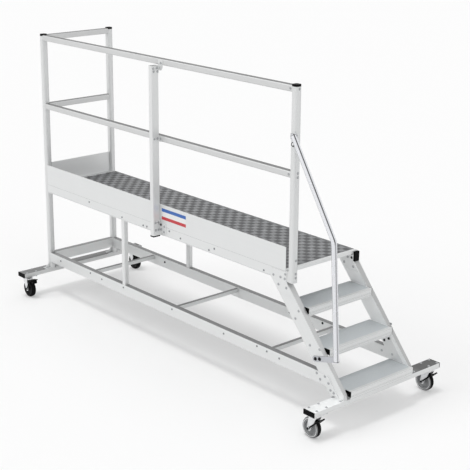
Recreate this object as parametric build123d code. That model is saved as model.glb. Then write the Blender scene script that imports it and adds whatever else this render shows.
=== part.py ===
from build123d import *
import math
import os

# Mobile work platform: a long guarded deck on a bolted aluminium frame, with three treads
# at one end and four braked swivel castors. All sizes are in millimetres.
# The model is laid out from the centre of the near left post on the floor: X runs along
# the deck to the treads, Y runs across to the open far side and Z is up. The finished
# pieces are then moved so that the origin lies under the middle of the overall box.

# Overall layout
POST_SPACING_X = 2590.0      # left posts to the right post
POST_SPACING_Y = 570.0       # near posts to the far post
FRAME_HEIGHT = 655.0         # top of the outriggers to the top of the deck
GUARD_HEIGHT = 1096.0        # deck to the ends of the posts
MID_RAIL_HEIGHT = 599.0      # deck to the top of the middle rails
SIDE_FACE = 20.0             # post centres to the outer face of rails, boards and beams

# Upright tubes
POST_SIZE = 44.0
POST_CORNER = 14.0
POST_WALL = 3.0
POST_CAP_THICKNESS = 4.0
CENTRE_POST_X = 1346.0
CENTRE_POST_WIDTH = 34.0     # along the deck
CENTRE_POST_DEPTH = 55.0     # across the deck
CENTRE_POST_CORNER = 4.0
CENTRE_POST_WALL = 2.5
CENTRE_POST_DROP = 4.0       # under the beam at the foot and under the top rail at the head

# Guard rails
RAIL_SIZE = 40.0
RAIL_WALL = 2.5
RAIL_CORNER = 8.0
TOP_RAIL_DROP = 2.0          # post end to the top of the top rail

# Deck, beams and toe boards
DECK_THICKNESS = 4.0
DECK_LIP = 2.0               # turned-down edges that stand on the beams
DECK_RIGHT_MARGIN = 37.0     # deck's right edge to the centre of the right post
DECK_FAR_MARGIN = 9.0        # far edge of the deck to the outer face of the far beam
NOSING_WIDTH = 25.0
NOSING_DROP = 20.0
NOSING_WALL = 3.0
BEAM_HEIGHT = 62.0
BEAM_WIDTH = 40.0
BEAM_WALL = 3.0
BEAM_CORNER = 2.0
BEAM_CAP_LENGTH = 12.0
RAIL_BOLT_HOLE = 9.0         # holes in the far beam for the foot of a second guard
RAIL_BOLT_SPACING_X = 50.0
RAIL_BOLT_SPACING_Z = 30.0
JOIST_SIZE = 40.0
JOIST_WALL = 2.5
JOIST_COUNT = 6
JOIST_MARGIN = 120.0         # deck plate's ends to the first and last joist
TOE_BOARD_THICKNESS = 3.0
SIDE_TOE_BOARD_HEIGHT = 147.0
END_TOE_BOARD_HEIGHT = 158.0
TOE_BOARD_MARGIN = 41.0      # side toe board's end to the centre of the right post

# Bottom frame
BASE_RAIL_LIFT = 119.0       # top of the outriggers to the top of the bottom rails
BASE_RAIL_HEIGHT = 73.0
BASE_RAIL_WIDTH = 40.0
BASE_RAIL_WALL = 3.0
BASE_RAIL_CORNER = 3.0
CROSS_TUBE_SIZE = 25.0
CROSS_TUBE_WALL = 2.0
CROSS_TUBE_DROP = 21.5       # top of the bottom rails to the middle of the tubes
CROSS_TUBE_XS = (540.0, 1480.0)
CROSS_TUBE_MARGIN = 190.0    # centre of the right post to the last tube
LEG_X = 940.0
LEG_SIZE = 36.0
LEG_WALL = 2.5
LEG_CORNER = 8.0

# Outriggers
OUTRIGGER_WIDTH = 84.0
OUTRIGGER_HEIGHT = 30.0
OUTRIGGER_LENGTH = 1084.0
OUTRIGGER_WALL = 3.0
OUTRIGGER_CORNER = 3.0
OUTRIGGER_CAP_THICKNESS = 4.0
OUTRIGGER_SETBACK = 58.0     # lowest tread's nose to the middle of the right outrigger

# Stair
STAIR_GOING = 175.0
TREAD_COUNT = 3
STAIR_REACH = 155.0          # deck's right edge to the nose of the highest tread
TREAD_DEPTH = 178.0
TREAD_THICKNESS = 4.0
TREAD_FLANGE = 30.0          # height of the rear lip and of the flanges at the stringers
NOSE_BOX_WIDTH = 42.0
NOSE_BOX_HEIGHT = 33.0
NOSE_BOX_WALL = 3.0
NOSE_SKIRT = 17.0
SKIRT_CLEARANCE = 2.0        # lowest skirt to the outrigger
NOSE_CAP_THICKNESS = 3.0
STRINGER_DEPTH = 100.0
STRINGER_WIDTH = 40.0
STRINGER_LAP = 10.0          # how far the stringer's front edge laps a nose box at its top

# Stair handrail
HANDRAIL_DIAMETER = 33.0
HANDRAIL_TOP = (20.0, 820.0)         # X from the right post, Z from the deck
HANDRAIL_BEND = (-108.0, 878.0)      # this and the rest from the lowest tread's nose
HANDRAIL_FOOT = (-63.0, 179.0)
HANDRAIL_BEND_RADIUS = 90.0
HANDRAIL_SEAT = 1.0                  # depth of the flats cut where the tube is bolted on
BRACKET_THICKNESS = 5.0
FOOT_BAR_HEIGHT = 34.0
FOOT_BAR_START = (-265.0, 130.0)
FOOT_BAR_END = (-60.0, 187.0)

# Joint plates and brackets
PLATE_THICKNESS = 4.0
PLATE_MARGIN = 4.0           # plate edges to the edges of the pieces that they join
HEAD_PLATE_DROP = 75.0
FOOT_PLATE_LENGTH = 74.0
FOOT_PLATE_DROP = 40.0
POST_FOOT_REACH = 42.0
ANGLE_THICKNESS = 3.0
BEAM_ANGLE_LENGTH = 65.0     # lengths of the angles' legs along the side
MID_ANGLE_LENGTH = 34.0
TOP_ANGLE_LENGTH = 45.0
BEAM_ANGLE_POST_RISE = 38.0  # top of the beam to the top of the leg on the post
BEAM_ANGLE_SIDE_RISE = 20.0  # the same of the leg on the side
TOP_ANGLE_POST_DROP = 50.0   # end of the centre post to the foot of the leg on the post
TOP_ANGLE_SIDE_DROP = 30.0   # the same of the leg on the side

# Castors
WHEEL_DIAMETER = 125.0
CROWN_CLEARANCE = 10.7               # top of the wheel to the crown of the fork
TYRE_WIDTH = 34.0
TYRE_SHOULDER = 7.0
RIM_DIAMETER = 96.0
RIM_WIDTH = 30.0
RIM_DEPTH = 8.0
HUB_DIAMETER = 28.0
HUB_GAP = 0.3                        # between the hub and each fork leg
WEB_WIDTH = 10.0
AXLE_DIAMETER = 10.0
AXLE_HEAD_DIAMETER = 18.0
AXLE_HEAD_HEIGHT = 4.0
RUNNING_CLEARANCE = 0.05             # on the radius, at pins and bores
CASTOR_TRAIL = 25.0
CASTOR_INSET = 55.0                  # end of an outrigger to the swivel axis
CASTOR_PLATE_LENGTH = 104.0          # along the outrigger; it is as wide as the outrigger
CASTOR_PLATE_THICKNESS = 4.0
CASTOR_PLATE_CORNER = 8.0
RACE_DIAMETER = 56.0
RACE_HEIGHT = 8.0
RACE_GAP = 0.3
KING_PIN_DIAMETER = 12.0
KING_PIN_HEAD_DIAMETER = 22.0
KING_PIN_HEAD_HEIGHT = 5.0
FORK_GAP = 45.0                      # between the fork legs
FORK_WALL = 3.0
FORK_CROWN = 7.0
FORK_CROWN_LENGTH = 60.0
FORK_EYE_DIAMETER = 30.0
PEDAL_THICKNESS = 6.0
PEDAL_ARM_DEPTH = 9.0

# Heights and places worked out from the sizes above
AXLE_Z = WHEEL_DIAMETER / 2
CROWN_BOTTOM_Z = WHEEL_DIAMETER + CROWN_CLEARANCE
CROWN_TOP_Z = CROWN_BOTTOM_Z + FORK_CROWN
RACE_TOP_Z = CROWN_TOP_Z + RACE_GAP + RACE_HEIGHT
CASTOR_HEIGHT = RACE_TOP_Z + CASTOR_PLATE_THICKNESS
OUTRIGGER_TOP_Z = CASTOR_HEIGHT + OUTRIGGER_HEIGHT
DECK_TOP_Z = OUTRIGGER_TOP_Z + FRAME_HEIGHT
DECK_UNDERSIDE_Z = DECK_TOP_Z - DECK_THICKNESS
BEAM_TOP_Z = DECK_UNDERSIDE_Z - DECK_LIP
BEAM_BOTTOM_Z = BEAM_TOP_Z - BEAM_HEIGHT
BEAM_MIDDLE_Z = (BEAM_TOP_Z + BEAM_BOTTOM_Z) / 2
POST_TOP_Z = DECK_TOP_Z + GUARD_HEIGHT
TOP_RAIL_Z = POST_TOP_Z - TOP_RAIL_DROP
MID_RAIL_Z = DECK_TOP_Z + MID_RAIL_HEIGHT
BASE_RAIL_TOP_Z = OUTRIGGER_TOP_Z + BASE_RAIL_LIFT
BASE_RAIL_BOTTOM_Z = BASE_RAIL_TOP_Z - BASE_RAIL_HEIGHT
CROSS_TUBE_Z = BASE_RAIL_TOP_Z - CROSS_TUBE_DROP
POST_HALF = POST_SIZE / 2
MIDDLE_Y = POST_SPACING_Y / 2
NEAR_FACE_Y = -SIDE_FACE
FAR_FACE_Y = POST_SPACING_Y + SIDE_FACE
BEAM_INNER_Y = NEAR_FACE_Y + BEAM_WIDTH
DECK_NEAR_Y = NEAR_FACE_Y + TOE_BOARD_THICKNESS
DECK_FAR_Y = FAR_FACE_Y - DECK_FAR_MARGIN
DECK_RIGHT_X = POST_SPACING_X - DECK_RIGHT_MARGIN
DECK_PLATE_RIGHT_X = DECK_RIGHT_X - NOSING_WIDTH
TOE_BOARD_RIGHT_X = POST_SPACING_X - TOE_BOARD_MARGIN
CENTRE_POST_TOP_Z = TOP_RAIL_Z - RAIL_SIZE - CENTRE_POST_DROP
LEFT_OUTRIGGER_X = POST_HALF - OUTRIGGER_WIDTH / 2
STAIR_RISE = (FRAME_HEIGHT - NOSE_BOX_HEIGHT - NOSE_SKIRT - SKIRT_CLEARANCE) / TREAD_COUNT
TREAD_TOPS = [DECK_TOP_Z - STAIR_RISE * (TREAD_COUNT - i) for i in range(TREAD_COUNT)]
LOW_TREAD_NOSE_X = DECK_RIGHT_X + STAIR_REACH + STAIR_GOING * (TREAD_COUNT - 1)
TREAD_NOSES = [LOW_TREAD_NOSE_X - STAIR_GOING * i for i in range(TREAD_COUNT)]
RIGHT_OUTRIGGER_X = LOW_TREAD_NOSE_X - OUTRIGGER_SETBACK
STAIR_SLOPE = STAIR_RISE / STAIR_GOING
STRINGER_SPAN_X = STRINGER_DEPTH / math.sin(math.atan(STAIR_SLOPE))
STRINGER_INNER_Y = NEAR_FACE_Y + STRINGER_WIDTH
STRINGER_FAR_INNER_Y = FAR_FACE_Y - STRINGER_WIDTH
STRINGER_FOOT_X = RIGHT_OUTRIGGER_X + OUTRIGGER_WIDTH / 2
HANDRAIL_POINTS = [(POST_SPACING_X + HANDRAIL_TOP[0], DECK_TOP_Z + HANDRAIL_TOP[1])]
HANDRAIL_POINTS += [(LOW_TREAD_NOSE_X + x, TREAD_TOPS[0] + z)
                    for x, z in (HANDRAIL_BEND, HANDRAIL_FOOT)]
FOOT_BAR_POINTS = [(LOW_TREAD_NOSE_X + x, TREAD_TOPS[0] + z)
                   for x, z in (FOOT_BAR_START, FOOT_BAR_END)]
CASTOR_SPACING_Y = OUTRIGGER_LENGTH - 2 * CASTOR_INSET
FORK_HALF = FORK_GAP / 2 + FORK_WALL
ARM_HALF = FORK_HALF + FORK_WALL

NEAR_LEFT, FAR_LEFT, NEAR_RIGHT = (0.0, 0.0), (0.0, POST_SPACING_Y), (POST_SPACING_X, 0.0)

# Brake pedals in a castor's own frame, with the swivel axis at x = 0 and the pedal towards
# +X. Columns: x of the axle, then the arms' ends, the pad's start and its end, each as its
# angle at the axle in degrees and its reach past the tyre.
LEADING_PEDAL = (-CASTOR_TRAIL, (42.7, 34.1), (42.7, 9.0), (42.7, 34.1))
TRAILING_PEDAL = (CASTOR_TRAIL, (60.5, 20.8), (73.6, 8.4), (49.8, 39.7))

# Castors. Columns: name, x of the swivel, near or far side, pedal arrangement.
CASTORS = (
    ("near_left", LEFT_OUTRIGGER_X, -1, TRAILING_PEDAL),
    ("far_left", LEFT_OUTRIGGER_X, 1, TRAILING_PEDAL),
    ("near_right", RIGHT_OUTRIGGER_X, -1, LEADING_PEDAL),
    ("far_right", RIGHT_OUTRIGGER_X, 1, LEADING_PEDAL),
)

# The plane across a bar, for each way that it can run.
WAYS = "XYZ"
SECTION_PLANES = dict(zip(WAYS, (Plane.YZ, Plane.XZ, Plane.XY)))


def outline(width, height, corner):
    """A rectangle with rounded corners, or sharp ones where the radius is nil."""
    corner = min(corner, 0.49 * min(width, height))
    return RectangleRounded(width, height, corner) if corner > 0.2 else Rectangle(width, height)


def bar(way, low, high, wall=0.0, corner=0.0):
    """A straight bar or tube that fills the box from low to high and runs one way."""
    plane, sizes = SECTION_PLANES[way], [hi - lo for lo, hi in zip(low, high)]
    length = sizes.pop(WAYS.index(way))
    width, height = sizes
    middle = [(lo + hi) / 2 for lo, hi in zip(low, high)]
    place = Plane(origin=tuple(middle), x_dir=plane.x_dir, z_dir=plane.z_dir)
    body = extrude(place * outline(width, height, corner), amount=length / 2, both=True)
    if wall:
        hollow = place * outline(width - 2 * wall, height - 2 * wall, corner - wall)
        body -= extrude(hollow, amount=length / 2, both=True)
    return body


def side_prism(points, y_from, y_to):
    """A plate whose outline is given by points of X and Z, carried across from y to y."""
    edge = Polyline(*[(x, y_from, z) for x, z in points], close=True)
    return extrude(make_face(edge), amount=y_to - y_from, dir=(0, 1, 0))


def cross_rod(x, z, radius, y_from, y_to):
    """A round rod across the platform."""
    return Pos(x, (y_from + y_to) / 2, z) * Rot(90, 0, 0) * Cylinder(radius, y_to - y_from)


def far_copy(piece):
    """The same piece on the far side of the platform."""
    return mirror(piece, about=Plane(origin=(0, MIDDLE_Y, 0), z_dir=(0, 1, 0)))


def group(*pieces):
    """Separate solids that share one node."""
    return Compound(children=[solid for piece in pieces for solid in piece.solids()])


def coped(piece, *posts):
    """The piece cut to fit round the posts that it meets."""
    for x, y in posts:
        low = (x - POST_HALF, y - POST_HALF, 0.0)
        piece -= bar("Z", low, (x + POST_HALF, y + POST_HALF, POST_TOP_Z), corner=POST_CORNER)
    return piece


def fitted_end(piece, width):
    """A piece of the left end, coped to both posts and cut square beside the side pieces."""
    inner = POST_HALF - POST_CORNER
    for start in (NEAR_FACE_Y, FAR_FACE_Y - width):
        piece -= bar("X", (inner, start, 0.0), (inner + POST_SIZE, start + width, POST_TOP_Z))
    return coped(piece, NEAR_LEFT, FAR_LEFT)


def stringer_front_x(z):
    """X of the front edge of a stringer."""
    return LOW_TREAD_NOSE_X - NOSE_BOX_WIDTH + STRINGER_LAP + (TREAD_TOPS[0] - z) / STAIR_SLOPE


def stringer_rear_x(z):
    """X of the rear edge of a stringer."""
    return stringer_front_x(z) - STRINGER_SPAN_X


def make_post(spot, bottom_z):
    """One rounded square post up to the top of the guard."""
    x, y = spot
    low = (x - POST_HALF, y - POST_HALF, bottom_z)
    return bar("Z", low, (x + POST_HALF, y + POST_HALF, POST_TOP_Z), POST_WALL, POST_CORNER)


def make_post_cap(spot):
    """The flat plug that closes a post."""
    x, y = spot
    low = (x - POST_HALF, y - POST_HALF, POST_TOP_Z)
    high = (x + POST_HALF, y + POST_HALF, POST_TOP_Z + POST_CAP_THICKNESS)
    return bar("Z", low, high, corner=POST_CORNER)


def make_centre_post():
    """The flat upright bolted outside the rails, from the beam to just below the top rail."""
    half = CENTRE_POST_WIDTH / 2
    low = (CENTRE_POST_X - half, NEAR_FACE_Y - CENTRE_POST_DEPTH,
           BEAM_BOTTOM_Z - CENTRE_POST_DROP)
    high = (CENTRE_POST_X + half, NEAR_FACE_Y, CENTRE_POST_TOP_Z)
    return bar("Z", low, high, CENTRE_POST_WALL, CENTRE_POST_CORNER)


def make_side_rail(top_z):
    """A guard rail along the near side, from the left post to the right post."""
    high = (POST_SPACING_X, NEAR_FACE_Y + RAIL_SIZE, top_z)
    rail = bar("X", (0.0, NEAR_FACE_Y, top_z - RAIL_SIZE), high, RAIL_WALL, RAIL_CORNER)
    return coped(rail, NEAR_LEFT, NEAR_RIGHT)


def make_end_piece(top_z, height, width, wall, corner):
    """A rail or beam across the closed left end, between the two left posts."""
    low = (-width / 2, 0.0, top_z - height)
    piece = bar("Y", low, (width / 2, POST_SPACING_Y, top_z), wall, corner)
    return fitted_end(piece, width)


def make_near_beam():
    """The near beam under the edge of the deck, from the left post to the right post."""
    low = (0.0, NEAR_FACE_Y, BEAM_BOTTOM_Z)
    beam = bar("X", low, (POST_SPACING_X, BEAM_INNER_Y, BEAM_TOP_Z), BEAM_WALL, BEAM_CORNER)
    return coped(beam, NEAR_LEFT, NEAR_RIGHT)


def make_far_beam():
    """The far beam, free at the head of the stair and drilled for a second guard."""
    low = (0.0, POST_SPACING_Y - BEAM_INNER_Y, BEAM_BOTTOM_Z)
    beam = bar("X", low, (DECK_RIGHT_X, FAR_FACE_Y, BEAM_TOP_Z), BEAM_WALL, BEAM_CORNER)
    for side in (-1, 1):
        for level in (-1, 1):
            x = CENTRE_POST_X + side * RAIL_BOLT_SPACING_X / 2
            z = BEAM_MIDDLE_Z + level * RAIL_BOLT_SPACING_Z / 2
            beam -= cross_rod(x, z, RAIL_BOLT_HOLE / 2, FAR_FACE_Y - BEAM_WALL, FAR_FACE_Y)
    return coped(beam, FAR_LEFT)


def make_beam_cap():
    """The plug in the free end of the far beam."""
    low = (DECK_RIGHT_X, POST_SPACING_Y - BEAM_INNER_Y, BEAM_BOTTOM_Z)
    return bar("X", low, (DECK_RIGHT_X + BEAM_CAP_LENGTH, FAR_FACE_Y, BEAM_TOP_Z),
               corner=BEAM_CORNER)


def make_deck():
    """Tread plate with turned-down edges along the beams and a strip between the posts."""
    tray = bar("X", (POST_HALF, DECK_NEAR_Y, BEAM_TOP_Z),
               (DECK_PLATE_RIGHT_X, DECK_FAR_Y, DECK_TOP_Z))
    tray -= bar("X", (POST_HALF + DECK_THICKNESS, DECK_NEAR_Y + DECK_THICKNESS, BEAM_TOP_Z),
                (DECK_PLATE_RIGHT_X, DECK_FAR_Y - DECK_THICKNESS, DECK_UNDERSIDE_Z))
    strip = bar("X", (TOE_BOARD_THICKNESS / 2, POST_HALF, BEAM_TOP_Z),
                (POST_HALF, POST_SPACING_Y - POST_HALF, DECK_TOP_Z))
    return tray + strip


def make_deck_nosing():
    """The edge angle at the head of the stair, let down between the beams."""
    top = bar("Y", (DECK_PLATE_RIGHT_X, DECK_NEAR_Y, BEAM_TOP_Z),
              (DECK_RIGHT_X, DECK_FAR_Y, DECK_TOP_Z))
    drop = bar("Y", (DECK_RIGHT_X - NOSING_WALL, BEAM_INNER_Y, DECK_TOP_Z - NOSING_DROP),
               (DECK_RIGHT_X, POST_SPACING_Y - BEAM_INNER_Y, BEAM_TOP_Z))
    return top + drop


def make_joists():
    """Cross tubes between the beams that carry the deck plate."""
    first, last = POST_HALF + JOIST_MARGIN, DECK_PLATE_RIGHT_X - JOIST_MARGIN
    half = JOIST_SIZE / 2
    tubes = []
    for i in range(JOIST_COUNT):
        x = first + (last - first) * i / (JOIST_COUNT - 1)
        low = (x - half, BEAM_INNER_Y, DECK_UNDERSIDE_Z - JOIST_SIZE)
        high = (x + half, POST_SPACING_Y - BEAM_INNER_Y, DECK_UNDERSIDE_Z)
        tubes.append(bar("Y", low, high, JOIST_WALL))
    return group(*tubes)


def make_side_toe_board():
    """The upright board along the near edge of the deck."""
    high = (TOE_BOARD_RIGHT_X, DECK_NEAR_Y, BEAM_TOP_Z + SIDE_TOE_BOARD_HEIGHT)
    return coped(bar("X", (0.0, NEAR_FACE_Y, BEAM_TOP_Z), high), NEAR_LEFT)


def make_end_toe_board():
    """The upright board across the closed left end."""
    half = TOE_BOARD_THICKNESS / 2
    high = (half, POST_SPACING_Y, BEAM_TOP_Z + END_TOE_BOARD_HEIGHT)
    return coped(bar("Y", (-half, 0.0, BEAM_TOP_Z), high), NEAR_LEFT, FAR_LEFT)


def make_base_rail():
    """The near bottom rail, cut to the slope of the stringer and round the lowest tread."""
    long, inner = RIGHT_OUTRIGGER_X, NEAR_FACE_Y + BASE_RAIL_WIDTH
    rail = bar("X", (0.0, NEAR_FACE_Y, BASE_RAIL_BOTTOM_Z), (long, inner, BASE_RAIL_TOP_Z),
               BASE_RAIL_WALL, BASE_RAIL_CORNER)
    waste = side_prism([
        (stringer_rear_x(0.0), 0.0), (stringer_rear_x(BEAM_BOTTOM_Z), BEAM_BOTTOM_Z),
        (2 * long, BEAM_BOTTOM_Z), (2 * long, 0.0),
    ], -BASE_RAIL_WIDTH, BASE_RAIL_WIDTH)
    tread = bar("Y", (TREAD_NOSES[0] - TREAD_DEPTH, STRINGER_INNER_Y, 0.0),
                (TREAD_NOSES[0], MIDDLE_Y, TREAD_TOPS[0]))
    return coped(rail - waste - tread, NEAR_LEFT)


def make_cross_tubes():
    """Light tubes between the two bottom rails."""
    inner, half = NEAR_FACE_Y + BASE_RAIL_WIDTH, CROSS_TUBE_SIZE / 2
    tubes = []
    for x in (*CROSS_TUBE_XS, POST_SPACING_X - CROSS_TUBE_MARGIN):
        low = (x - half, inner, CROSS_TUBE_Z - half)
        high = (x + half, POST_SPACING_Y - inner, CROSS_TUBE_Z + half)
        tubes.append(bar("Y", low, high, CROSS_TUBE_WALL))
    return group(*tubes)


def make_leg():
    """The near intermediate leg between bottom rail and beam."""
    half = LEG_SIZE / 2
    low = (LEG_X - half, -half, BASE_RAIL_TOP_Z)
    return bar("Z", low, (LEG_X + half, half, BEAM_BOTTOM_Z), LEG_WALL, LEG_CORNER)


def outrigger_ends():
    """Y of the two ends of the outrigger tubes, without their caps."""
    half = OUTRIGGER_LENGTH / 2 - OUTRIGGER_CAP_THICKNESS
    return MIDDLE_Y - half, MIDDLE_Y + half


def make_outrigger(x):
    """The flat tube across the platform that carries two castors."""
    near, far = outrigger_ends()
    low = (x - OUTRIGGER_WIDTH / 2, near, CASTOR_HEIGHT)
    high = (x + OUTRIGGER_WIDTH / 2, far, OUTRIGGER_TOP_Z)
    return bar("Y", low, high, OUTRIGGER_WALL, OUTRIGGER_CORNER)


def make_outrigger_caps(x):
    """The two end caps of an outrigger."""
    near, far = outrigger_ends()
    caps = []
    for start in (near - OUTRIGGER_CAP_THICKNESS, far):
        low = (x - OUTRIGGER_WIDTH / 2, start, CASTOR_HEIGHT)
        high = (x + OUTRIGGER_WIDTH / 2, start + OUTRIGGER_CAP_THICKNESS, OUTRIGGER_TOP_Z)
        caps.append(bar("Y", low, high, corner=OUTRIGGER_CORNER))
    return caps


def make_post_feet(spot):
    """Two gusset brackets that bolt a left post to the outrigger, one on each side."""
    x, y = spot
    feet = []
    for side in (-1, 1):
        face = y + side * POST_HALF
        outer = face + side * POST_FOOT_REACH
        low = (x - POST_HALF, min(face, outer), OUTRIGGER_TOP_Z)
        high = (x + POST_HALF, max(face, outer), OUTRIGGER_TOP_Z + PLATE_THICKNESS)
        web = Polyline((x, face, OUTRIGGER_TOP_Z), (x, outer, OUTRIGGER_TOP_Z),
                       (x, face, OUTRIGGER_TOP_Z + POST_FOOT_REACH), close=True)
        rib = extrude(make_face(web), amount=PLATE_THICKNESS / 2, both=True)
        feet.append(bar("Z", low, high) + rib)
    return feet


def make_stringer():
    """The near stringer, level at the beam and at the foot."""
    top, foot = BEAM_BOTTOM_Z, OUTRIGGER_TOP_Z
    foot_front_z = TREAD_TOPS[0] - (STRINGER_FOOT_X - stringer_front_x(TREAD_TOPS[0])) * STAIR_SLOPE
    return side_prism([
        (stringer_rear_x(top), top), (stringer_front_x(top), top),
        (STRINGER_FOOT_X, foot_front_z), (STRINGER_FOOT_X, foot), (stringer_rear_x(foot), foot),
    ], NEAR_FACE_Y, STRINGER_INNER_Y)


def make_stringer_plates():
    """Plates on the near face that tie the stringer to the beam and to the bottom rail."""
    near, face = NEAR_FACE_Y - PLATE_THICKNESS, NEAR_FACE_Y
    margin, low = PLATE_MARGIN, BEAM_BOTTOM_Z - HEAD_PLATE_DROP
    head_left, head_right = stringer_rear_x(BEAM_BOTTOM_Z), DECK_RIGHT_X + BEAM_CAP_LENGTH
    head_top = BEAM_TOP_Z - margin
    head = [
        (head_left, head_top), (head_right, head_top),
        (stringer_front_x(BEAM_BOTTOM_Z), BEAM_BOTTOM_Z),
        (stringer_front_x(low) - margin, low), (stringer_rear_x(low) + margin, low),
        (head_left, BEAM_BOTTOM_Z + margin),
    ]
    top, bottom = BASE_RAIL_TOP_Z - margin, BASE_RAIL_BOTTOM_Z + margin
    low = bottom - FOOT_PLATE_DROP
    foot = [
        (stringer_rear_x(top) - FOOT_PLATE_LENGTH / 2, top),
        (stringer_rear_x(top) + FOOT_PLATE_LENGTH, top),
        (stringer_rear_x(low) + FOOT_PLATE_LENGTH, low),
        (stringer_rear_x(low) + margin, low), (stringer_rear_x(bottom) + margin, bottom),
        (stringer_rear_x(top) - FOOT_PLATE_LENGTH / 2, bottom),
    ]
    return [side_prism(points, near, face) for points in (head, foot)]


def make_tread(nose_x, top_z):
    """One pressed tread: plate with lip and flanges, hollow nose box and front skirt."""
    back, box_back = nose_x - TREAD_DEPTH, nose_x - NOSE_BOX_WIDTH
    near, far, thick = STRINGER_INNER_Y, STRINGER_FAR_INNER_Y, TREAD_THICKNESS
    pan = bar("Y", (back, near, top_z - TREAD_FLANGE), (box_back, far, top_z))
    pan -= bar("Y", (back + thick, near + thick, top_z - TREAD_FLANGE),
               (box_back, far - thick, top_z - thick))
    box = bar("Y", (box_back, near + NOSE_CAP_THICKNESS, top_z - NOSE_BOX_HEIGHT),
              (nose_x, far - NOSE_CAP_THICKNESS, top_z), NOSE_BOX_WALL)
    skirt = bar("Y", (nose_x - NOSE_BOX_WALL, near, top_z - NOSE_BOX_HEIGHT - NOSE_SKIRT),
                (nose_x, far, top_z - NOSE_BOX_HEIGHT))
    return pan + box + skirt


def make_tread_caps(nose_x, top_z):
    """The two caps that close the nose box of a tread."""
    caps = []
    for start in (STRINGER_INNER_Y, STRINGER_FAR_INNER_Y - NOSE_CAP_THICKNESS):
        low = (nose_x - NOSE_BOX_WIDTH, start, top_z - NOSE_BOX_HEIGHT)
        caps.append(bar("Y", low, (nose_x, start + NOSE_CAP_THICKNESS, top_z)))
    return caps


def make_handrail_brackets():
    """The pad at the right post and the flat bar from the stringer to the handrail's foot."""
    outer = NEAR_FACE_Y - BRACKET_THICKNESS
    half = HANDRAIL_DIAMETER / 2
    top_x, top_z = HANDRAIL_POINTS[0]
    pad = bar("Y", (POST_SPACING_X - half, outer, top_z - HANDRAIL_DIAMETER),
              (top_x + half, -POST_HALF, top_z))
    (x0, z0), (x1, z1) = FOOT_BAR_POINTS
    place = Plane(origin=((x0 + x1) / 2, NEAR_FACE_Y, (z0 + z1) / 2),
                  x_dir=(x1 - x0, 0, z1 - z0), z_dir=(0, -1, 0))
    length = math.hypot(x1 - x0, z1 - z0)
    shape = outline(length, FOOT_BAR_HEIGHT, FOOT_BAR_HEIGHT / 3)
    return pad, extrude(place * shape, amount=BRACKET_THICKNESS)


def make_handrail():
    """The bent tube beside the stair, with a flat where it lies on each bracket."""
    y = NEAR_FACE_Y - BRACKET_THICKNESS - HANDRAIL_DIAMETER / 2 + HANDRAIL_SEAT
    points = [(x, y, z) for x, z in HANDRAIL_POINTS]
    path = FilletPolyline(*points, radius=HANDRAIL_BEND_RADIUS)
    tube = sweep(Plane(origin=path @ 0, z_dir=path % 0) * Circle(HANDRAIL_DIAMETER / 2), path=path)
    for bracket in make_handrail_brackets():
        tube -= bracket
    return tube


def make_post_brackets():
    """Angles that bolt the centre post to the beam, the middle rail and the top rail."""
    side, outer = CENTRE_POST_X + CENTRE_POST_WIDTH / 2, NEAR_FACE_Y - CENTRE_POST_DEPTH
    face = NEAR_FACE_Y - ANGLE_THICKNESS
    # Columns: bottom and top of the leg on the post, bottom and top of the leg on the
    # side, length of the leg on the side.
    rows = (
        (BEAM_BOTTOM_Z, BEAM_TOP_Z + BEAM_ANGLE_POST_RISE,
         BEAM_BOTTOM_Z, BEAM_TOP_Z + BEAM_ANGLE_SIDE_RISE, BEAM_ANGLE_LENGTH),
        (MID_RAIL_Z - RAIL_SIZE, MID_RAIL_Z,
         MID_RAIL_Z - RAIL_SIZE, MID_RAIL_Z, MID_ANGLE_LENGTH),
        (CENTRE_POST_TOP_Z - TOP_ANGLE_POST_DROP, CENTRE_POST_TOP_Z,
         CENTRE_POST_TOP_Z - TOP_ANGLE_SIDE_DROP, TOP_RAIL_Z - RAIL_CORNER, TOP_ANGLE_LENGTH),
    )
    angles = []
    for leg_low, leg_high, side_low, side_high, length in rows:
        leg = bar("Z", (side, outer, leg_low), (side + ANGLE_THICKNESS, NEAR_FACE_Y, leg_high))
        corner = min(length, side_high - side_low) / 3
        flat = side_prism([
            (side, side_low), (side + length - corner, side_low),
            (side + length, side_low + corner), (side + length, side_high), (side, side_high),
        ], face, NEAR_FACE_Y)
        angles.append(leg + flat)
    return angles


def make_castor_plate():
    """Top plate, ball race and headed king pin of a castor, about its swivel axis."""
    x, y = OUTRIGGER_WIDTH / 2, CASTOR_PLATE_LENGTH / 2
    plate = bar("Z", (-x, -y, RACE_TOP_Z), (x, y, CASTOR_HEIGHT), corner=CASTOR_PLATE_CORNER)
    # Columns: diameter, bottom and top.
    stack = (
        (RACE_DIAMETER, RACE_TOP_Z - RACE_HEIGHT, RACE_TOP_Z),
        (KING_PIN_DIAMETER, CROWN_BOTTOM_Z - RACE_GAP, RACE_TOP_Z),
        (KING_PIN_HEAD_DIAMETER, CROWN_BOTTOM_Z - RACE_GAP - KING_PIN_HEAD_HEIGHT,
         CROWN_BOTTOM_Z - RACE_GAP),
    )
    for diameter, low, high in stack:
        plate += Pos(0, 0, (low + high) / 2) * Cylinder(diameter / 2, high - low)
    return plate


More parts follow.
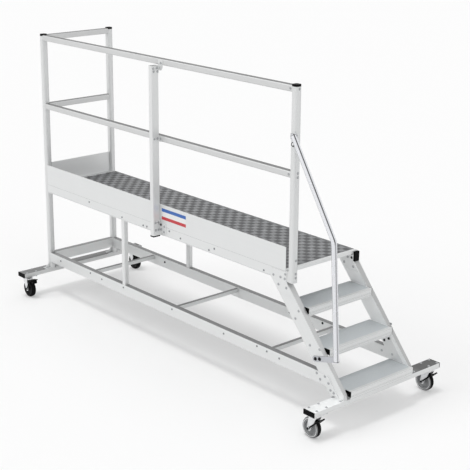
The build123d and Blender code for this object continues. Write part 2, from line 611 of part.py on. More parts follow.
def make_fork(axle_x):
    """Pressed fork: a crown over the wheel, two tapered legs and the fixed axle."""
    half, eye = FORK_CROWN_LENGTH / 2, FORK_EYE_DIAMETER / 2
    fork = bar("Z", (-half, -FORK_HALF, CROWN_BOTTOM_Z), (half, FORK_HALF, CROWN_TOP_Z),
               corner=FORK_WALL)
    bore = KING_PIN_DIAMETER / 2 + RUNNING_CLEARANCE
    fork -= Pos(0, 0, CROWN_BOTTOM_Z) * Cylinder(bore, 4 * FORK_CROWN)
    crown_half = half - FORK_WALL
    for side in (-1, 1):
        start, end = sorted((side * FORK_GAP / 2, side * FORK_HALF))
        fork += side_prism([
            (-crown_half, CROWN_BOTTOM_Z), (crown_half, CROWN_BOTTOM_Z),
            (axle_x + eye, AXLE_Z), (axle_x - eye, AXLE_Z),
        ], start, end)
        fork += cross_rod(axle_x, AXLE_Z, eye, start, end)
        head = sorted((side * ARM_HALF, side * (ARM_HALF + AXLE_HEAD_HEIGHT)))
        fork += cross_rod(axle_x, AXLE_Z, AXLE_HEAD_DIAMETER / 2, *head)
    return fork + cross_rod(axle_x, AXLE_Z, AXLE_DIAMETER / 2, -ARM_HALF, ARM_HALF)


def strip(start, end, depth):
    """Corners of a straight strip of even depth between two points of X and Z."""
    dx, dz = end[0] - start[0], end[1] - start[1]
    half = depth / 2 / math.hypot(dx, dz)
    nx, nz = -dz * half, dx * half
    return [(start[0] - nx, start[1] - nz), (end[0] - nx, end[1] - nz),
            (end[0] + nx, end[1] + nz), (start[0] + nx, start[1] + nz)]


def past_tyre(axle_x, angle, reach):
    """X and Z of a point seen from the axle at an angle, a given reach past the tyre."""
    length, turn = WHEEL_DIAMETER / 2 + reach, math.radians(angle)
    return axle_x + length * math.cos(turn), AXLE_Z + length * math.sin(turn)


def make_pedal(pedal):
    """Brake pedal: two arms from the axle outside the fork and a pad clear of the tyre."""
    axle_x = pedal[0]
    arm_end, pad_start, pad_end = [past_tyre(axle_x, *place) for place in pedal[1:]]
    body = side_prism(strip(pad_start, pad_end, PEDAL_THICKNESS), -FORK_HALF, FORK_HALF)
    for side in (-1, 1):
        start, end = sorted((side * FORK_HALF, side * ARM_HALF))
        arm = side_prism(strip((axle_x, AXLE_Z), arm_end, PEDAL_ARM_DEPTH), start, end)
        arm += side_prism(strip(pad_start, pad_end, PEDAL_THICKNESS), start, end)
        arm += cross_rod(axle_x, AXLE_Z, AXLE_HEAD_DIAMETER / 2, start, end)
        body += arm - cross_rod(axle_x, AXLE_Z, AXLE_DIAMETER / 2, start, end)
    return body


def turned(axle_x, points):
    """A wheel part turned about the axle from points of radius and Y."""
    profile = make_face(Polyline(*[(r, y, 0) for r, y in points], close=True))
    return Pos(axle_x, 0, AXLE_Z) * revolve(profile, axis=Axis.Y)


def make_rim(axle_x):
    """Wheel centre: hub, web and rim turned in one profile about the axle."""
    bore = AXLE_DIAMETER / 2 + RUNNING_CLEARANCE
    hub, outer = HUB_DIAMETER / 2, RIM_DIAMETER / 2
    inner = outer - RIM_DEPTH
    hub_y, web_y, rim_y = FORK_GAP / 2 - HUB_GAP, WEB_WIDTH / 2, RIM_WIDTH / 2
    half = [(bore, hub_y), (hub, hub_y), (hub, web_y), (inner, web_y), (inner, rim_y),
            (outer, rim_y)]
    return turned(axle_x, half + [(r, -y) for r, y in reversed(half)])


def make_tyre(axle_x):
    """Solid rubber tyre with bevelled shoulders."""
    inner, outer = RIM_DIAMETER / 2, WHEEL_DIAMETER / 2
    shoulder = min(TYRE_SHOULDER, (outer - inner) / 2)
    flat, half = TYRE_WIDTH / 2 - shoulder, TYRE_WIDTH / 2
    side = [(inner, half), (outer - shoulder, half), (outer - 0.3 * shoulder, half - 0.3 * shoulder),
            (outer, flat)]
    return turned(axle_x, side + [(r, -y) for r, y in reversed(side)])


def castor_place(x, side):
    """Where a castor's own frame stands in the layout."""
    return Pos(x, MIDDLE_Y + side * CASTOR_SPACING_Y / 2, 0)


def overall_middle_x():
    """X of the middle of the overall box, from the left outrigger to the farthest right end."""
    axle_x, arm_end, _, _ = LEADING_PEDAL
    arm = strip((axle_x, AXLE_Z), past_tyre(axle_x, *arm_end), PEDAL_ARM_DEPTH)
    right = max(LOW_TREAD_NOSE_X, RIGHT_OUTRIGGER_X + max(x for x, _ in arm))
    return (LEFT_OUTRIGGER_X - OUTRIGGER_WIDTH / 2 + right) / 2


def build():
    """Every node by name, in the layout's frame."""
    outriggers = (LEFT_OUTRIGGER_X, RIGHT_OUTRIGGER_X)
    base_rail, leg, stringer, plates = (make_base_rail(), make_leg(), make_stringer(),
                                        make_stringer_plates())
    rail = (RAIL_SIZE, RAIL_SIZE, RAIL_WALL, RAIL_CORNER)
    beam = (BEAM_HEIGHT, BEAM_WIDTH, BEAM_WALL, BEAM_CORNER)
    base = (BASE_RAIL_HEIGHT, BASE_RAIL_WIDTH, BASE_RAIL_WALL, BASE_RAIL_CORNER)
    nodes = {
        "post_near_left": make_post(NEAR_LEFT, OUTRIGGER_TOP_Z),
        "post_far_left": make_post(FAR_LEFT, OUTRIGGER_TOP_Z),
        "post_near_right": make_post(NEAR_RIGHT, BEAM_BOTTOM_Z),
        "post_centre": make_centre_post(),
        "post_caps": group(*[make_post_cap(s) for s in (NEAR_LEFT, FAR_LEFT, NEAR_RIGHT)]),
        "post_brackets": group(*make_post_brackets()),
        "post_feet": group(*make_post_feet(NEAR_LEFT), *make_post_feet(FAR_LEFT)),
        "top_rail_side": make_side_rail(TOP_RAIL_Z),
        "mid_rail_side": make_side_rail(MID_RAIL_Z),
        "top_rail_end": make_end_piece(TOP_RAIL_Z, *rail),
        "mid_rail_end": make_end_piece(MID_RAIL_Z, *rail),
        "toe_board_side": make_side_toe_board(),
        "toe_board_end": make_end_toe_board(),
        "beam_near": make_near_beam(),
        "beam_far": make_far_beam(),
        "beam_end": make_end_piece(BEAM_TOP_Z, *beam),
        "beam_cap": make_beam_cap(),
        "deck_plate": make_deck(),
        "deck_nosing": make_deck_nosing(),
        "deck_joists": make_joists(),
        "base_rail_near": base_rail,
        "base_rail_far": far_copy(base_rail),
        "base_rail_end": make_end_piece(BASE_RAIL_TOP_Z, *base),
        "base_cross_tubes": make_cross_tubes(),
        "mid_legs": group(leg, far_copy(leg)),
        "outrigger_left": make_outrigger(LEFT_OUTRIGGER_X),
        "outrigger_right": make_outrigger(RIGHT_OUTRIGGER_X),
        "outrigger_caps": group(*[cap for x in outriggers for cap in make_outrigger_caps(x)]),
        "stringer_near": stringer,
        "stringer_far": far_copy(stringer),
        "stringer_plates": group(*plates, *[far_copy(plate) for plate in plates]),
        "handrail": make_handrail(),
        "handrail_brackets": group(*make_handrail_brackets()),
        "castor_plates": group(*[castor_place(x, side) * make_castor_plate()
                                 for _, x, side, _ in CASTORS]),
    }
    caps = []
    for number, (nose_x, top_z) in enumerate(zip(TREAD_NOSES, TREAD_TOPS), start=1):
        nodes[f"tread_{number}"] = make_tread(nose_x, top_z)
        caps += make_tread_caps(nose_x, top_z)
    nodes["tread_caps"] = group(*caps)
    for name, x, side, pedal in CASTORS:
        place, axle_x = castor_place(x, side), pedal[0]
        nodes["fork_" + name] = place * make_fork(axle_x)
        nodes["pedal_" + name] = place * make_pedal(pedal)
        nodes["rim_" + name] = place * make_rim(axle_x)
        nodes["tyre_" + name] = place * make_tyre(axle_x)
    return nodes


os.makedirs("parts", exist_ok=True)
to_origin = Pos(-overall_middle_x(), -MIDDLE_Y, 0)
for node_name, piece in build().items():
    export_step(to_origin * piece, "parts/" + node_name + ".step")
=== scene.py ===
"""Looks of the mobile work platform: finishes, deck pattern, fasteners, castors and studio."""

from __future__ import annotations

import logging
import math
from dataclasses import dataclass, field
from enum import Enum
from typing import Any, Callable, Iterable, Sequence

import bmesh
import bpy
from mathutils import Matrix, Vector


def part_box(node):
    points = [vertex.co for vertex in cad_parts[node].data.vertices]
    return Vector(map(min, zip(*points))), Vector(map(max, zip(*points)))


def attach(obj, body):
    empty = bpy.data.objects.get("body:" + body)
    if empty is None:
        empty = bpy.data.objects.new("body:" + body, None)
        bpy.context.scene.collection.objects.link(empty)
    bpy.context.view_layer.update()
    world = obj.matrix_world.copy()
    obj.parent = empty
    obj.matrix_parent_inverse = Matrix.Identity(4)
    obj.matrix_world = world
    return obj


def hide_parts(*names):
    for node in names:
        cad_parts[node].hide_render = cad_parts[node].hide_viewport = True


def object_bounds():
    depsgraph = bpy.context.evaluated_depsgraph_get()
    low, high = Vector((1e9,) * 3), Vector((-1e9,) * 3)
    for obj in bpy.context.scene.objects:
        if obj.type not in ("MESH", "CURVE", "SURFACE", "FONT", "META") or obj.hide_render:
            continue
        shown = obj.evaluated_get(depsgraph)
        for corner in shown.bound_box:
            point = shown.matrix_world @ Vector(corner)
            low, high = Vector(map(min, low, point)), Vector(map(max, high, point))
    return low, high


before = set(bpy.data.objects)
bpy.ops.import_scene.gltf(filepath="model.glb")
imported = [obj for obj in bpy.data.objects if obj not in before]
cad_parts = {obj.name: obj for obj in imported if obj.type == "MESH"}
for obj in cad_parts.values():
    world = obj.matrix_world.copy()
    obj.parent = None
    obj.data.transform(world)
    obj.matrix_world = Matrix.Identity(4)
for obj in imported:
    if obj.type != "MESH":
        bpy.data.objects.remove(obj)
CAD_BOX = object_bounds()

LOG = logging.getLogger("platform")
Colour = Point = tuple[float, float, float]
Pair = tuple[float, float]

MM = 0.001
OUT, BACK = Vector((0, -1, 0)), Vector((0, 1, 0))
LEFT, RIGHT = Vector((-1, 0, 0)), Vector((1, 0, 0))
DOWN, UP = Vector((0, 0, -1)), Vector((0, 0, 1))
STRINGER_FRONT = (0.754, 0.0, 0.657)
TREADS = ("tread_1", "tread_2", "tread_3")

# Widths of eased edges, in metres.
FILM_EASE = 0.0001
RIB_EASE = 0.0004
POST_EASE = 0.0005
PLATE_EASE = 0.0006
MEMBER_EASE = 0.0009
CAP_EASE = 0.0012
ROUND_EASE = 0.0022
WHITE = (1.0, 1.0, 1.0, 1.0)


def setting_out() -> Vector:
    """The point on the floor under the near left post, from which the platform is set out."""
    low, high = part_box("post_near_left")
    return Vector(((low.x + high.x) / 2, (low.y + high.y) / 2, 0.0))


START = setting_out()


def at(x: float, y: float, z: float) -> Vector:
    """A place given in millimetres from the setting-out point, in metres in the model's frame."""
    return START + Vector((x, y, z)) * MM


class Axis(Enum):
    """The three ways a length of metal can run."""

    X = 0
    Y = 1
    Z = 2


def arithmetic(operation: str, swapped: bool = False) -> Callable[[Term, Term | float], Term]:
    """Makes a method that joins a term and another value by one Math node.

    Args:
        operation: The node's operation.
        swapped: Whether the other value comes first.

    Returns:
        The method.
    """

    def method(self: Term, other: Term | float) -> Term:
        """Adds the node."""
        first, second = (other, self) if swapped else (self, other)
        return self.nodes.math(operation, first, second)

    return method


class Term:
    """One value of a node tree, which takes part in arithmetic; comparisons give one or nil."""

    def __init__(self, nodes: Nodes, socket: bpy.types.NodeSocket) -> None:
        """Keeps the tree and the output that carries the value."""
        self.nodes = nodes
        self.socket = socket

    __add__ = arithmetic("ADD")
    __radd__ = arithmetic("ADD", True)
    __sub__ = arithmetic("SUBTRACT")
    __rsub__ = arithmetic("SUBTRACT", True)
    __mul__ = arithmetic("MULTIPLY")
    __truediv__ = arithmetic("DIVIDE")
    __mod__ = arithmetic("MODULO")
    __gt__ = arithmetic("GREATER_THAN")
    __lt__ = arithmetic("LESS_THAN")

    def output(self, name: str) -> Term:
        """Another output of the same node."""
        return Term(self.nodes, self.socket.node.outputs[name])

    def clamped(self, low: float, high: float) -> Term:
        """The value moved from the range low to high onto nil to one, and kept between them."""
        return self.nodes.node(
            "ShaderNodeMapRange", {0: self, 1: low, 2: high, 3: 0.0, 4: 1.0}, clamp=True
        )


class Nodes:
    """A node tree in the making."""

    def __init__(self, tree: bpy.types.NodeTree) -> None:
        """Keeps the tree and empties it."""
        self.tree = tree
        tree.nodes.clear()

    def node(
        self, kind: str, inputs: dict[int | str, Any] | None = None, output: int | str = 0,
        **settings: Any,
    ) -> Term:
        """Adds a node, sets it up and feeds its sockets.

        Args:
            kind: The node's type.
            inputs: Values or terms by socket.
            output: The socket to return.
            **settings: Properties that are set before the sockets.

        Returns:
            The chosen output as a term.
        """
        made = self.tree.nodes.new(kind)
        for name, value in settings.items():
            setattr(made, name, value)
        for key, value in (inputs or {}).items():
            self.feed(made.inputs[key], value)
        return Term(self, made.outputs[output])

    def feed(self, socket: bpy.types.NodeSocket, value: Any) -> None:
        """Links a term to a socket or sets its value.

        Args:
            socket: The input to feed.
            value: A term, or the value itself.
        """
        if isinstance(value, Term):
            self.tree.links.new(value.socket, socket)
        else:
            socket.default_value = value

    def math(self, operation: str, first: Any, second: Any = 0.0) -> Term:
        """The result of one operation on numbers; some operations leave the second out."""
        return self.node("ShaderNodeMath", {0: first, 1: second}, operation=operation)

    def vector(self, x: Any = 0.0, y: Any = 0.0, z: Any = 0.0) -> Term:
        """Joins three numbers to a vector."""
        return self.node("ShaderNodeCombineXYZ", {0: x, 1: y, 2: z})

    def parts(self, vector: Term) -> tuple[Term, Term, Term]:
        """The three numbers of a vector."""
        first = self.node("ShaderNodeSeparateXYZ", {0: vector})
        return first, first.output("Y"), first.output("Z")


class Shader(Nodes):
    """A material in the making, with its principled surface."""

    def __init__(self, name: str) -> None:
        """Makes an empty material.

        Args:
            name: The material's name.
        """
        self.material = bpy.data.materials.new(name)
        self.material.use_nodes = True
        super().__init__(self.material.node_tree)
        surface = self.node("ShaderNodeBsdfPrincipled")
        self.sockets = surface.socket.node.inputs
        self.output = self.tree.nodes.new("ShaderNodeOutputMaterial").inputs[0]
        self.feed(self.output, surface)

    def noise(self, vector: Term, scale: float | Point, detail: float, rough: float = 0.5) -> Term:
        """Cloudy noise between nil and one.

        Args:
            vector: Place on the object, in metres.
            scale: How often it varies in a metre, for all the axes or for each.
            detail: Number of finer layers.
            rough: Weight of the finer layers.

        Returns:
            The noise.
        """
        stretch = scale if isinstance(scale, tuple) else (scale,) * 3
        placed = self.node("ShaderNodeMapping", {"Vector": vector, "Scale": stretch})
        return self.node(
            "ShaderNodeTexNoise",
            {"Vector": placed, "Scale": 1.0, "Detail": detail, "Roughness": rough},
        )

    def blend(self, factor: Any, first: Any, second: Any) -> Term:
        """The first colour where the factor is nil, the second where it is one."""
        first, second = ((*it, 1.0) if isinstance(it, tuple) else it for it in (first, second))
        return self.node("ShaderNodeMix", {0: factor, 6: first, 7: second}, 2, data_type="RGBA")

    def bump(self, height: Term, distance: float) -> Term:
        """A normal that follows small heights, given in units of a distance in metres."""
        return self.node("ShaderNodeBump", {"Height": height, "Distance": distance, "Strength": 1.0})

    def facing(self) -> tuple[Term, Term, Term]:
        """The three numbers of the way that the surface faces."""
        return self.parts(self.node("ShaderNodeNewGeometry", output="Normal"))


def shade(colour: Colour, factor: float) -> Colour:
    """The colour made darker or lighter, with no channel above one."""
    return tuple(min(1.0, channel * factor) for channel in colour)


@dataclass(frozen=True)
class Finish:
    """What a finish looks like; its kinds say it in surface."""

    name: str

    def surface(self, shader: Shader, place: Term) -> dict[str, Any]:
        """Describes the finish.

        Args:
            shader: The material in the making.
            place: Place on the object, in metres.

        Returns:
            Values or terms by socket of the principled surface.
        """
        raise NotImplementedError

    def build(self) -> bpy.types.Material:
        """Makes the material."""
        shader = Shader(self.name)
        place = shader.node("ShaderNodeTexCoord", output="Object")
        for socket, value in self.surface(shader, place).items():
            shader.feed(shader.sockets[socket], value)
        return shader.material


@dataclass(frozen=True)
class SatinAluminium(Finish):
    """Extruded aluminium with draw lines along its length and faint handling marks.

    Faces that look along one way get a painted tone over the metal: painted shade, or a painted highlight
    where its factor is above one. It may fade toward the far side to a second painted tone, a painted
    reflection.
    """

    along: Axis
    tint: Colour = (0.77, 0.78, 0.78)
    metallic: float = 0.4
    roughness: float = 0.42
    # Painted light: the painted tone of faces that look along the way below, and the painted reflection at
    # the far side.
    top_shade: float = 0.78
    shade_way: Point = (0.0, 0.0, 1.0)
    shade_from: float = 0.6
    far_shade: float | None = None
    shade_fade: float = 0.35
    line_scale: float = 700.0
    length_scale: float = 1.2

    def surface(self, shader: Shader, place: Term) -> dict[str, Any]:
        """Describes the finish; its arguments and result are those of Finish.surface."""
        stretch = tuple(self.length_scale if axis is self.along else self.line_scale for axis in Axis)
        lines = shader.noise(place, stretch, 2.0, 0.6)
        clouds = shader.noise(place, 7.0, 4.0, 0.62)
        scuffs = shader.noise(place, 55.0, 3.0).clamped(0.62, 0.78)
        # Painted shade, or painted highlight, mixed into the metal on the faces that look the chosen way.
        toward = sum(part * way for part, way in zip(shader.facing(), self.shade_way) if way)
        upward = toward.clamped(self.shade_from, self.shade_from + self.shade_fade)
        metal = shader.blend(lines, shade(self.tint, 0.96), shade(self.tint, 1.04))
        metal = shader.blend(clouds * 0.35, metal, shade(self.tint, 0.93))
        top = shade(self.tint, self.top_shade)
        # Painted reflection: the painted tone changes across the platform toward the far side.
        if self.far_shade is not None:
            across = shader.parts(place)[1].clamped(CAD_BOX[0].y * 0.4, CAD_BOX[1].y * 0.7)
            top = shader.blend(across, top, shade(self.tint, self.far_shade))
        return {
            "Base Color": shader.blend(upward, metal, top),
            "Metallic": self.metallic,
            "Roughness": (lines - 0.5) * 0.16 + (clouds - 0.5) * 0.18 + scuffs * 0.1
            + self.roughness,
            "Normal": shader.bump(lines, 0.00006),
        }


@dataclass(frozen=True)
class PolishedTube(Finish):
    """Polished aluminium tube with a painted reflection: a dark streak down two sides and darker painted
    flanks.
    """

    tint: Colour = (0.80, 0.81, 0.84)
    # Painted reflection: where and how dark the painted streak and the painted flanks fall.
    streak_way: Point = (0.26, 0.966, 0.45)
    streak_width: Pair = (0.03, 0.09)
    streak_shade: float = 0.06
    flank_way: Pair = (0.65, 0.76)
    flank_from: float = 0.86
    flank_shade: float = 0.2

    def surface(self, shader: Shader, place: Term) -> dict[str, Any]:
        """Describes the finish; its arguments and result are those of Finish.surface."""
        lines = shader.noise(place, (500.0, 500.0, 1.5), 2.0)
        clouds = shader.noise(place, 9.0, 3.0)
        x, y, z = shader.facing()
        # Painted reflection: a dark streak, stronger on the upper side, and dark flanks toward the edges.
        side = x * self.streak_way[0] + y * self.streak_way[1] + z * self.streak_way[2]
        streak = 1 - (side * side).clamped(*self.streak_width)
        raised = z.clamped(0.1, 0.35) * 0.4 + 0.55
        across = x * self.flank_way[0] + y * self.flank_way[1]
        flank = (across * across > self.flank_from) * 0.7
        metal = shader.blend(clouds * 0.3, self.tint, shade(self.tint, 0.94))
        metal = shader.blend(flank, metal, shade(self.tint, self.flank_shade))
        dark = shade(self.tint, self.streak_shade)
        return {
            "Base Color": shader.blend(streak * raised, metal, dark),
            "Metallic": 0.6,
            "Roughness": (lines - 0.5) * 0.1 + (clouds - 0.5) * 0.1 + 0.26,
            "Normal": shader.bump(lines, 0.00003),
        }


@dataclass(frozen=True)
class TreadSheet(Finish):
    """Pressed aluminium sheet of the treads, with close ribs across the stair and painted shade on faces
    that look up.
    """

    tint: Colour = (0.50, 0.53, 0.545)
    pitch: float = 0.0085

    def surface(self, shader: Shader, place: Term) -> dict[str, Any]:
        """Describes the finish; its arguments and result are those of Finish.surface."""
        ridge = shader.math("SINE", shader.parts(place)[0] * (math.tau / self.pitch))
        ridge = ridge.clamped(0.1, 0.8)
        grain = shader.noise(place, (400.0, 3.0, 400.0), 3.0)
        clouds = shader.noise(place, 9.0, 3.0)
        # Painted shade: faces that look up are painted darker than the sides of the ribs.
        upward = shader.facing()[2].clamped(0.6, 0.95)
        plain = shader.blend(grain, shade(self.tint, 1.32), shade(self.tint, 1.42))
        top = shader.blend(ridge, shade(self.tint, 0.93), shade(self.tint, 1.07))
        top = shader.blend(clouds * 0.4, top, shade(self.tint, 0.92))
        return {
            "Base Color": shader.blend(upward, plain, top),
            "Metallic": 0.45,
            "Roughness": (grain - 0.5) * 0.2 + (clouds - 0.5) * 0.14 + 0.46,
            "Normal": shader.bump(ridge * upward, 0.0005),
        }


@dataclass(frozen=True)
class Chequered(Finish):
    """A finish that differs on every other square block of the deck."""

    corner: Vector
    pitch: float

    def every_other(self, shader: Shader, place: Term) -> Term:
        """Nil on the first block of the deck, one on its neighbours, and so on by turns.

        Args:
            shader: The material in the making.
            place: Place on the object, in metres.

        Returns:
            Nil or one.
        """
        x, y, _ = shader.parts(place)
        column = shader.math("FLOOR", (x - self.corner.x) * (1.0 / self.pitch))
        row = shader.math("FLOOR", (y - self.corner.y) * (1.0 / self.pitch))
        return (column + row) % 2.0


@dataclass(frozen=True)
class DeckSheet(Chequered):
    """Dark sheet under the raised bars of the deck, with a painted sheen that lightens every other block.
    """

    tint: Colour = (0.075, 0.077, 0.08)
    rubbed: float = 2.4

    def surface(self, shader: Shader, place: Term) -> dict[str, Any]:
        """Describes the finish; its arguments and result are those of Finish.surface."""
        grain = shader.noise(place, 260.0, 3.0)
        dirt = shader.noise(place, 5.0, 5.0, 0.65)
        tone = shader.blend(dirt, shade(self.tint, 0.8), shade(self.tint, 1.25))
        # Painted sheen: every other block is painted lighter, where its bars would catch the light.
        other = self.every_other(shader, place)
        tone = shader.blend(other, shade(self.tint, self.rubbed), tone)
        return {
            "Base Color": shader.blend(grain * 0.4, tone, shade(self.tint, 1.5)),
            "Metallic": 0.25,
            "Roughness": (grain - 0.5) * 0.3 + 0.5,
            "Normal": shader.bump(grain, 0.0002),
        }


@dataclass(frozen=True)
class WornBars(Chequered):
    """Raised bars of the deck with random wear, light in every other block and painted darker in the rest,
    a painted sheen.
    """

    tint: Colour = (0.27, 0.275, 0.28)
    unworn: float = 0.3

    def surface(self, shader: Shader, place: Term) -> dict[str, Any]:
        """Describes the finish; its arguments and result are those of Finish.surface."""
        wear = shader.noise(place, 16.0, 4.0, 0.6)
        grain = shader.noise(place, 500.0, 2.0)
        tone = shader.blend(wear.clamped(0.3, 0.7), shade(self.tint, 0.8), shade(self.tint, 1.2))
        # Painted sheen: the blocks that the deck sheet paints lighter keep the light tone, and the rest
        # are painted darker.
        other = self.every_other(shader, place)
        tone = shader.blend(other, tone, shade(self.tint, self.unworn))
        return {
            "Base Color": shader.blend(grain * 0.3, tone, shade(self.tint, 0.8)),
            "Metallic": 0.3,
            "Roughness": (wear - 0.5) * -0.25 + 0.5,
            "Normal": shader.bump(grain, 0.00008),
        }


@dataclass(frozen=True)
class Moulding(Finish):
    """Moulded plastic or rubber with a fine grain, and if wanted another colour on its sides."""

    tint: Colour
    roughness: float = 0.5
    grain: float = 900.0
    depth: float = 0.00005
    shine: float = 0.06
    side: Colour | None = None

    def surface(self, shader: Shader, place: Term) -> dict[str, Any]:
        """Describes the finish; its arguments and result are those of Finish.surface."""
        grain = shader.noise(place, self.grain, 2.0)
        dust = shader.noise(place, 22.0, 4.0).clamped(0.45, 0.8)
        tone = shader.blend(dust * 0.35, self.tint, shade(self.tint, 1.9))
        if self.side is not None:
            across = shader.parts(shader.node("ShaderNodeTexCoord", output="Normal"))[1]
            tone = shader.blend((across * across).clamped(0.25, 0.45), tone, self.side)
        return {
            "Base Color": tone,
            "Roughness": (grain - 0.5) * 0.2 + dust * 0.12 + self.roughness,
            "Specular IOR Level": self.shine,
            "Normal": shader.bump(grain, self.depth),
        }


@dataclass(frozen=True)
class PlatedSteel(Finish):
    """Zinc-plated pressed steel with a faint cloudy lustre."""

    tint: Colour = (0.80, 0.81, 0.82)
    roughness: float = 0.33

    def surface(self, shader: Shader, place: Term) -> dict[str, Any]:
        """Describes the finish; its arguments and result are those of Finish.surface."""
        clouds = shader.noise(place, 45.0, 4.0, 0.6)
        grain = shader.noise(place, 900.0, 1.0)
        return {
            "Base Color": shader.blend(clouds, shade(self.tint, 0.82), shade(self.tint, 1.15)),
            "Metallic": 0.85,
            "Roughness": (clouds - 0.5) * 0.22 + self.roughness,
            "Normal": shader.bump(grain, 0.00003),
        }


@dataclass(frozen=True)
class StripedLabel(Finish):
    """Blank white label with a blue band along its top and a red band along its foot."""

    low: float
    high: float
    blue_share: float = 0.29
    red_share: float = 0.28
    blue: Colour = (0.03, 0.13, 0.44)
    red: Colour = (0.55, 0.035, 0.045)

    def surface(self, shader: Shader, place: Term) -> dict[str, Any]:
        """Describes the finish; its arguments and result are those of Finish.surface."""
        height, span = shader.parts(place)[2], self.high - self.low
        film = shader.noise(place, 30.0, 3.0)
        above = height > self.high - self.blue_share * span
        below = height < self.low + self.red_share * span
        paper = shader.blend(film, (0.80, 0.81, 0.80), (0.86, 0.86, 0.85))
        ink = shader.blend(above, paper, self.blue)
        return {
            "Base Color": shader.blend(below, ink, self.red),
            "Roughness": (film - 0.5) * 0.1 + 0.34,
        }


class Finishes:
    """Every material of the platform, built once."""

    def __init__(self) -> None:
        """Builds all the finishes."""
        satin, rubber = SatinAluminium, (0.005, 0.005, 0.0055)
        # The aluminium finishes are lit and shaded copies of one metal. By default each one paints a
        # slightly darker painted shade on the faces that look up.
        self.along = self.extruded("satin_aluminium_", Axis, 0.78)
        # Painted shade: the rails' tops are painted dark.
        self.rails = self.extruded("rail_aluminium_", (Axis.X, Axis.Y), 0.3)
        # Painted shade: the guard rails' tint is lowered and their tops are painted darker still.
        self.guards = self.extruded("guard_aluminium_", (Axis.X, Axis.Y), 0.2, (0.66, 0.665, 0.665))
        # Painted reflection: the left outrigger's tint is lowered and its top painted mid grey, darker
        # toward the far end.
        self.left_beam = satin(
            "left_outrigger_aluminium", Axis.Y, (0.7, 0.705, 0.705), top_shade=0.23, far_shade=0.2
        ).build()
        # Painted highlight on the right outrigger's near top, fading to a painted dark reflection at its
        # far end.
        self.right_beam = satin("right_outrigger_aluminium", Axis.Y, top_shade=1.12, far_shade=0.1).build()
        # Painted shade on the sloping front faces of the near stringer.
        self.slope = satin("stringer_aluminium", Axis.Y, top_shade=0.72, shade_way=STRINGER_FRONT).build()
        # Painted light: the far stringer's tint is raised and its metal lowered against the shade cast by
        # the near parts, with painted shade on its sloping fronts.
        self.far_slope = satin(
            "far_stringer_aluminium", Axis.Y, (0.92, 0.93, 0.93), 0.15, top_shade=0.5,
            shade_way=STRINGER_FRONT,
        ).build()
        # Painted light: the far beam's and end toe board's tint is raised and their metal lowered against
        # the shade on them.
        self.far_side = satin(
            "far_side_aluminium", Axis.X, (0.90, 0.91, 0.91), 0.15, top_shade=0.7
        ).build()
        # Painted shade down the posts' flanks that face right and back.
        self.posts = satin(
            "post_aluminium", Axis.Z, (0.73, 0.74, 0.74), top_shade=0.5,
            shade_way=(0.65, 0.76, 0.0), shade_from=0.76,
        ).build()
        # Painted shade: the handrail straps' tint is lowered toward blue grey and their tops are painted
        # nearly black.
        self.strap = satin(
            "strap_aluminium", Axis.Z, (0.53, 0.54, 0.57), 0.45, 0.34, top_shade=0.15
        ).build()
        self.plate = satin("aluminium_plate", Axis.Z, roughness=0.38).build()
        self.groove = satin("groove_shade", Axis.X, (0.42, 0.43, 0.43)).build()
        self.tube = PolishedTube("polished_tube").build()
        self.tread = TreadSheet("tread_sheet").build()
        self.cap = Moulding("black_cap", (0.002, 0.002, 0.0022), 0.5).build()
        self.tyre = Moulding("tyre_rubber", rubber, 0.62, 500.0, 0.0001).build()
        self.grey_tyre = Moulding(
            "grey_sided_rubber", rubber, 0.6, 500.0, 0.0001, side=(0.23, 0.232, 0.235)
        ).build()
        self.pedal = Moulding("black_pedal", (0.003, 0.003, 0.0034), 0.42).build()
        self.centre = Moulding("grey_wheel_centre", (0.27, 0.275, 0.28), 0.45).build()
        self.dark_centre = Moulding("black_wheel_centre", (0.02, 0.02, 0.021), 0.45).build()
        self.ring = Moulding("light_wheel_ring", (0.78, 0.79, 0.80), 0.4).build()
        self.black_bolt = Moulding("black_bolt", (0.02, 0.02, 0.022), 0.35).build()
        self.steel = PlatedSteel("zinc_steel").build()
        self.bolt = PlatedSteel("bolt_steel", (0.46, 0.47, 0.48), 0.36).build()
        self.rivet = PlatedSteel("rivet_steel", (0.26, 0.27, 0.28), 0.4).build()

    @staticmethod
    def extruded(
        name: str, axes: Iterable[Axis], top_shade: float, tint: Colour = SatinAluminium.tint
    ) -> dict[Axis, bpy.types.Material]:
        """One finish for each way that an extrusion runs, by axis, with painted shade on its tops."""
        return {
            axis: SatinAluminium(name + axis.name.lower(), axis, tint, top_shade=top_shade).build()
            for axis in axes
        }


def add_object(name: str, data: bpy.types.ID) -> bpy.types.Object:
    """Puts an object in the scene.

    Args:
        name: Its name.
        data: Its mesh, lamp or camera.

    Returns:
        The object.
    """
    made = bpy.data.objects.new(name, data)
    bpy.context.scene.collection.objects.link(made)
    return made


def modified(holder: bpy.types.Object, name: str) -> bpy.types.Mesh:
    """Applies an object's modifiers and takes it out of the scene.

    Args:
        holder: The object.
        name: Name of the result.

    Returns:
        The modified mesh.
    """
    graph = bpy.context.evaluated_depsgraph_get()
    graph.update()
    made = bpy.data.meshes.new_from_object(holder.evaluated_get(graph))
    base = holder.data
    bpy.data.objects.remove(holder)
    bpy.data.meshes.remove(base)
    made.name = name
    return made


def smooth(data: bpy.types.Mesh, angle: float) -> None:
    """Shades a mesh smooth, except across edges sharper than an angle in degrees."""
    data.shade_smooth()
    data.set_sharp_from_angle(angle=math.radians(angle))


def place_mesh(data: bpy.types.Mesh, name: str, body: str) -> bpy.types.Object:
    """Makes a finished mesh a piece of the platform.

    Args:
        data: The mesh, in the model's frame.
        name: The piece's name.
        body: The body that it rides on.

    Returns:
        The piece.
    """
    piece = add_object(name, data)
    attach(piece, body)
    LOG.info("%s: %d faces on %s", name, len(data.polygons), body)
    return piece


